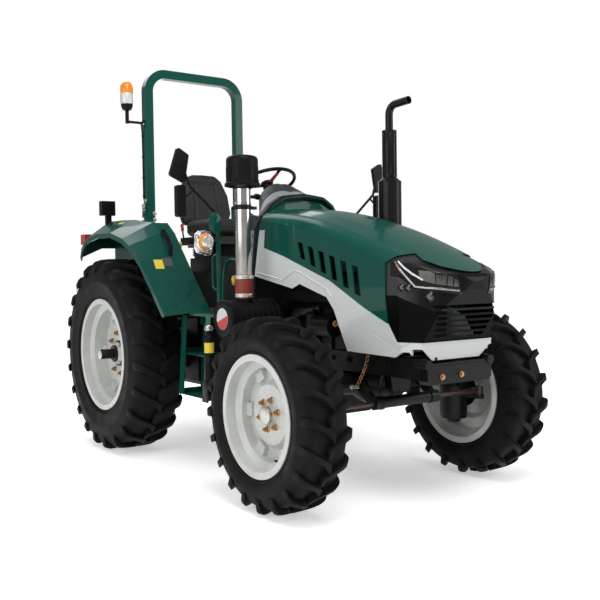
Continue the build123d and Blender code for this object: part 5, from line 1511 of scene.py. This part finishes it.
def make_turn_lamps():
    """A bright housing with a fluted amber lens round a stepped clear cap, its seam and stalk."""
    edge = [(0.058, -0.046), (0.06, 0.04), (0.048, 0.064), (0.01, 0.074), (-0.036, 0.07), (-0.06, 0.05),
            (-0.062, -0.03), (-0.048, -0.06), (0.02, -0.078), (0.05, -0.072)]
    shell = plate("lamp_shell", [LAMP + Vector((-0.03, y, z)) for y, z in edge], (0.044, 0, 0), 0.013, 4)
    rimmed = plate("lamp_rim", [LAMP + Vector((-0.014, y * 1.06, z * 1.06)) for y, z in edge],
        (0.008, 0, 0), 0.003)
    ring = turned("lamp_ring", [(0.058, 0.008), (0.058, 0.02), (0.055, 0.024), (0.051, 0.022)],
        LAMP + CAP_SHIFT, (1, 0, 0), 56)
    stalk = rod("lamp_stalk", LAMP + Vector((-0.01, 0.05, 0)), LAMP + Vector((-0.01, 0.084, 0)), 0.011)
    amber = turned("lamp_amber", [(0.051, 0.01), (0.051, 0.023), (0.048, 0.03), (0.041, 0.034),
        (0.036, 0.034)], LAMP + CAP_SHIFT, (1, 0, 0), 56)
    cap = turned("lamp_cap", [(0.037, 0.028), (0.037, 0.052), (0.035, 0.057), (0.03, 0.058), (0.029, 0.055),
        (0.02, 0.057), (0.01, 0.0585)], LAMP + CAP_SHIFT, (1, 0, 0))
    parts = [colored(shell, MOTTLED), colored(rimmed, CHROME), colored(ring, CHROME),
        colored(stalk, BLACK_PLASTIC), colored(amber, AMBER_LENS), colored(cap, LAMP_CAP)]
    for i in range(24):
        turn = math.radians(15 * i)
        foot = LAMP + Vector((0.032, -0.002 + math.cos(turn) * 0.0445, 0.004 + math.sin(turn) * 0.0445))
        flute = rod(f"lamp_flute_{i}", foot, foot + Vector((0.0025, 0, 0)), 0.003, 10, 0.0006)
        parts.append(colored(flute, AMBER_LENS))
    right = joined("turn_lamp_right", parts)
    both = joined("turn_lamp_pair", [right, mirrored(right, "turn_lamp_left")])
    dressed(both, None, "amber_lens", "turn_lamps")


make_turn_lamps()
shield = upright("lamp_shield", 1.236, [
    (-0.598, 1.53), (-0.622, 1.556), (-0.634, 1.596), (-0.626, 1.64), (-0.602, 1.668), (-0.574, 1.668),
    (-0.552, 1.64), (-0.548, 1.59), (-0.56, 1.545)], -0.008, 0.003)
arm = block("shield_arm", at(1.196, -0.584, 1.585), at(1.23, -0.566, 1.605), 0.002)
both_hands(joined("lamp_shields", [shield, arm]), GREEN_PAINT, "green_paint")


def make_beacon():
    """A fluted amber dome on a pale base and a black foot, with its stalk and bracket."""
    foot = Vector((middle("beacon").x, -0.57, 0))
    dome = turned("beacon_dome", [(0.0465, 2.651), (0.0465, 2.7), (0.044, 2.714), (0.038, 2.727),
        (0.028, 2.736), (0.015, 2.741), (0.005, 2.742)], foot, sides=64)
    base = turned("beacon_base", [(0.042, 2.568), (0.048, 2.574), (0.049, 2.586), (0.049, 2.64),
        (0.048, 2.6505), (0.044, 2.6525)], foot, sides=64)
    stand = turned("beacon_foot", [(0.013, 2.426), (0.014, 2.428), (0.014, 2.52), (0.02, 2.524),
        (0.034, 2.528), (0.036, 2.536), (0.042, 2.55), (0.046, 2.569)], foot)
    arm = rod("beacon_arm", foot + Vector((0, 0.004, 2.44)), foot + Vector((0, 0.136, 2.44)), 0.01)
    pad = block("beacon_pad", foot + Vector((-0.022, 0.128, 2.416)), foot + Vector((0.022, 0.137, 2.464)),
        0.003)
    parts = [colored(dome, AMBER_LENS), colored(base, PALE_PAINT), colored(stand, BLACK_PLASTIC),
        colored(arm, BLACK_PAINT), colored(pad, BLACK_PAINT)]
    for i in range(32):
        turn = math.radians(360 / 32 * i)
        spot = foot + Vector((math.cos(turn) * 0.0462, math.sin(turn) * 0.0462, 0))
        flute = rod(f"beacon_flute_{i}", spot + Vector((0, 0, 2.655)), spot + Vector((0, 0, 2.7)), 0.0018,
            8, 0.0005)
        parts.append(colored(flute, AMBER_LENS))
    for i in range(2):
        spot = foot + Vector((0.014 - 0.028 * i, 0.128, 2.43))
        parts.append(colored(hex_bolt(f"beacon_bolt_{i}", spot, (0, -1, 0), 0.007, 0.006), ZINC))
    dressed(joined("beacon_lamp", parts), None, "amber_lens", "beacon", body="roll_bar")


make_beacon()


def make_rear_lamps():
    """Work lamp glasses on the rear faces, with frames and cooling ribs."""
    frame_ring = upright("work_lamp_frame", -0.4405, [(-0.674, 1.752), (-0.576, 1.752), (-0.576, 1.852),
        (-0.674, 1.852)], -0.006, 0.002)
    glass = upright("work_lamp_glass", -0.4462, [(-0.666, 1.76), (-0.584, 1.76), (-0.584, 1.844),
        (-0.666, 1.844)], -0.003, 0.001)
    ribs = []
    for i in range(7):
        y = -0.668 + 0.014 * i
        ribs.append(block("cooling_rib", at(-0.3805, y, 1.76), at(-0.374, y + 0.005, 1.844), 0.001))
    parts = [colored(obj, BLACK_PLASTIC) for obj in [frame_ring] + ribs] + [colored(glass, LAMP_WHITE)]
    both_hands(joined("work_lamp_trim", parts), None, "black_plastic")


make_rear_lamps()

# ------------------------------------------------------------------ side reservoir
def make_reservoir():
    """A small hydraulic reservoir with a bright cap, a blank label and its bracket."""
    place = at(1.272, -0.67, 0)
    can = turned("can", [(0.024, 0.6), (0.03, 0.606), (0.03, 0.868), (0.033, 0.872), (0.033, 0.884),
        (0.028, 0.896), (0.02, 0.902), (0.018, 0.93)], place, sides=44)
    cap = turned("can_cap", [(0.022, 0.926), (0.025, 0.929), (0.025, 0.956), (0.022, 0.962), (0.01, 0.964)],
        place, sides=44)
    parts = [colored(can, BLACK_PLASTIC), colored(cap, MOTTLED)]
    grip = colored(block("cap_grip", (0.0245, -0.0018, 0.931), (0.0268, 0.0018, 0.954), 0.0006), MOTTLED)
    parts += around(grip, place, 20)
    label = turned("can_label", [(0.03, 0.79), (0.0308, 0.7905), (0.0308, 0.853), (0.03, 0.8535)], place,
        sides=44)
    parts.append(colored(label, LABEL_YELLOW))
    shoe = [(1.236, -0.708), (1.308, -0.708), (1.308, -0.7), (1.244, -0.7), (1.244, -0.644), (1.236, -0.644)]
    low_band = plate("can_shoe", [at(x, y, 0.482) for x, y in shoe], (0, 0, 0.136), 0.002)
    floor = block("can_floor", at(1.24, -0.704, 0.592), at(1.304, -0.644, 0.6), 0.002)
    band = turned("can_band", [(0.0302, 0.74), (0.033, 0.7405), (0.033, 0.7595), (0.0302, 0.76)], place,
        sides=44)
    arm = block("can_arm", at(1.222, -0.654, 0.736), at(1.262, -0.642, 0.764), 0.002)
    parts += [colored(obj, BLACK_PAINT) for obj in (low_band, floor, band, arm)]
    dressed(joined("side_reservoir", parts), None, "black_plastic")
    line = hose("reservoir_hose", [(1.272, -0.67, 0.602), (1.272, -0.66, 0.52), (1.24, -0.56, 0.5),
        (1.15, -0.44, 0.54), (1.12, -0.3, 0.6)], 0.008)
    dressed(line, BLACK_HOSE, "black_plastic")


make_reservoir()

# ------------------------------------------------------------------ hoses, lines and fixings of the engine
def laced(name, points, radius):
    """A rubber hose or a line of the engine."""
    dressed(hose(name, points, radius), BLACK_HOSE, "black_plastic")


laced("stack_elbow", [(1.42, -0.5, 1.135), (1.42, -0.5, 1.1), (1.42, -0.48, 1.07), (1.42, -0.44, 1.05)],
      0.046)
laced("engine_hose_upper", [(1.75, -0.16, 1.06), (1.7, -0.2, 1.045), (1.6, -0.22, 1.04),
    (1.53, -0.2, 1.01)], 0.026)
laced("radiator_hose", [(2.18, -0.12, 1.15), (2.24, -0.15, 1.18), (2.3, -0.16, 1.22), (2.35, -0.16, 1.23)],
      0.022)
laced("front_hose", [(2.529, -0.25, 0.824), (2.47, -0.262, 0.846), (2.43, -0.18, 0.85),
    (2.436, -0.02, 0.848), (2.56, 0.02, 0.846), (2.68, -0.06, 0.842), (2.73, -0.155, 0.826)], 0.01)
laced("steering_hose_right", [(2.278, -0.15, 0.6), (2.3, -0.17, 0.66), (2.33, -0.16, 0.72),
    (2.34, -0.12, 0.78)], 0.008)
laced("steering_hose_left", [(2.278, 0.15, 0.6), (2.3, 0.17, 0.66), (2.33, 0.16, 0.72), (2.34, 0.12, 0.78)],
      0.008)
laced("fuel_line", [(1.13, -0.3, 0.86), (1.22, -0.3, 0.9), (1.36, -0.27, 0.86), (1.5, -0.268, 0.84),
    (1.64, -0.262, 0.86)], 0.006)
laced("brake_line", [(0.64, -0.3, 0.9), (0.82, -0.33, 0.905), (1.0, -0.33, 0.905), (1.16, -0.3, 0.88)],
      0.005)
for y in (-0.09, 0.09):
    laced(f"coupler_line_{y}", [(-0.36, y, 0.94), (-0.42, y, 0.96), (-0.44, y, 1.01), (-0.3, y * 1.4, 1.06)],
          0.008)


def make_bolted_faces():
    """Bolt heads of the front support, the casings and the brackets."""
    copper, black = [], []
    for place in ((2.764, -0.135, 0.735), (2.764, 0.004, 0.739)):
        copper.append(hex_bolt("front_bolt", at(*place), (1, 0, 0), 0.011, 0.009))
    for i in range(3):
        copper.append(hex_bolt("block_bolt", at(2.03 + 0.042 * i, -0.262, 0.985), (0, -1, 0), 0.012, 0.012))
    for x in (1.99, 2.14, 2.32, 2.5):
        for z in (0.64, 0.785):
            for side in SIDES:
                black.append(hex_bolt("support_bolt", at(x, side * 0.254, z), (0, side, 0), 0.013, 0.01))
    for i in range(12):
        turn = math.radians(30 * i + 15)
        for side in SIDES:
            place = at(math.cos(turn) * 0.115, side * 0.56, 0.7 + math.sin(turn) * 0.115)
            black.append(hex_bolt("hub_bolt", place, (0, side, 0), 0.009, 0.008))
    dressed(joined("copper_bolts", copper), COPPER_NUT, "steel")
    dressed(joined("casting_bolts", black), CAST_BLACK, "cast_black")


make_bolted_faces()


def make_chain():
    """A short safety chain from the skirt to a bright pin in the front support."""
    top, foot = at(2.333, -0.266, 0.862), at(2.239, -0.272, 0.655)
    links = []
    for i in range(11):
        share = i / 10
        spot = top.lerp(foot, share) + Vector((0.018 * math.sin(share * math.pi), 0, 0))
        ahead = (foot - top).normalized()
        bpy.ops.mesh.primitive_torus_add(major_radius=0.0095, minor_radius=0.0026, major_segments=24,
            minor_segments=8)
        link = settle(started(f"link_{i}"))
        link.data.transform(Matrix.Diagonal((1.35, 1, 1, 1)))
        link.data.transform(Matrix.Rotation(math.radians(90 * (i % 2)), 4, "X"))
        link.data.transform(Matrix.Translation(spot) @ ahead.to_track_quat("X", "Z").to_matrix().to_4x4())
        links.append(smooth(link, 60))
    chain = colored(joined("chain_links", links), COPPER_NUT)
    pin = colored(rod("chain_pin", at(2.17, -0.282, 0.639), at(2.239, -0.262, 0.638), 0.008), ZINC)
    ring = turned("pin_ring", [(0.014, -0.002), (0.016, 0), (0.014, 0.002)], at(2.2, -0.276, 0.638),
        (1, 0.3, 0), 28)
    dressed(joined("safety_chain", [chain, pin, colored(ring, ZINC)]), None, "steel")


make_chain()


def make_roll_bar_trim():
    """Hinge bolts and lock pins on the posts, and a clipped lamp lead down the right post."""
    fixed, moving = [], []
    for side in SIDES:
        y = side * 0.4
        for z in (1.7, 1.745):
            fixed.append(hex_bolt("post_bolt", at(-0.03, y, z), (1, 0, 0), 0.011, 0.009))
        for z in (1.772, 1.8):
            fixed.append(hex_bolt("hinge_bolt", at(-0.09, side * 0.46, z), (0, side, 0), 0.012, 0.01))
        moving.append(rod("lock_pin", at(-0.092, side * 0.434, 1.85), at(-0.092, side * 0.452, 1.85), 0.009))
        bpy.ops.mesh.primitive_torus_add(major_radius=0.016, minor_radius=0.0018, major_segments=32,
            minor_segments=8)
        ring = settle(started("pin_ring"))
        ring.data.transform(posed(at(-0.092, side * 0.451, 1.836), 90, "X"))
        moving.append(smooth(ring, 60))
    dressed(joined("hinge_bolts", fixed), ZINC, "steel")
    dressed(joined("lock_pins", moving), ZINC, "steel", body="roll_bar")
    lead = hose("lamp_lead", [(-0.13, -0.452, 2.434), (-0.14, -0.442, 2.4), (-0.142, -0.438, 2.3),
        (-0.142, -0.438, 2.0), (-0.142, -0.438, 1.86)], 0.0045)
    clips = []
    for z in (2.34, 2.18, 2.02, 1.88):
        clips.append(block("lead_clip", at(-0.15, -0.444, z), at(-0.134, -0.432, z + 0.012), 0.002))
    dressed(joined("beacon_lead", [lead] + clips), BLACK_HOSE, "black_plastic", body="roll_bar")


make_roll_bar_trim()


def make_rear_trim():
    """Power shaft stub with its shield, remote couplers, a hitch pin and tank straps."""
    shaft = [rod("shaft_stub", at(-0.384, 0, 0.64), at(-0.462, 0, 0.64), 0.0175, 32)]
    for i in range(6):
        turn = math.radians(60 * i)
        foot = at(-0.392, math.cos(turn) * 0.0175, 0.64 + math.sin(turn) * 0.0175)
        shaft.append(rod(f"spline_{i}", foot, foot + Vector((-0.066, 0, 0)), 0.0035, 12, 0.001))
    dressed(joined("power_shaft", shaft), ZINC, "steel")
    outer = []
    for i in range(16):
        point = wheel_point(12 * i, 0.085)
        outer.append((point.x, 0.64 + point.z))
    inner = [(y * 0.955, 0.64 + (z - 0.64) * 0.955) for y, z in reversed(outer)]
    shield = upright("shaft_shield", -0.385, outer + inner, -0.095, 0.001)
    dressed(shield, BLACK_PAINT, "black_paint")
    couplers = []
    for y in (-0.11, -0.055, 0.055, 0.11):
        couplers.append(turned("coupler", [(0.012, 0), (0.017, 0.002), (0.017, 0.026), (0.02, 0.03),
            (0.02, 0.05), (0.015, 0.054), (0.012, 0.054), (0.011, 0.048)], at(-0.384, y, 0.84), (-1, 0, 0),
            28))
    dressed(joined("remote_couplers", couplers), ZINC, "steel")
    pin = turned("hitch_pin", [(0.0145, 0.38), (0.016, 0.384), (0.016, 0.496), (0.026, 0.498),
        (0.026, 0.506), (0.016, 0.512)], at(-0.59, 0, 0), sides=32)
    dressed(pin, ZINC, "steel")
    straps = []
    for side in SIDES:
        for x in (0.85, 1.06):
            straps.append(block("tank_strap", at(x, side * 0.4555 - 0.0015, 0.575),
                at(x + 0.03, side * 0.4555 + 0.0015, 0.89), 0.001))
    dressed(joined("tank_straps", straps), BLACK_PAINT, "black_paint")


make_rear_trim()

# ------------------------------------------------------------------ end
leave_edit()
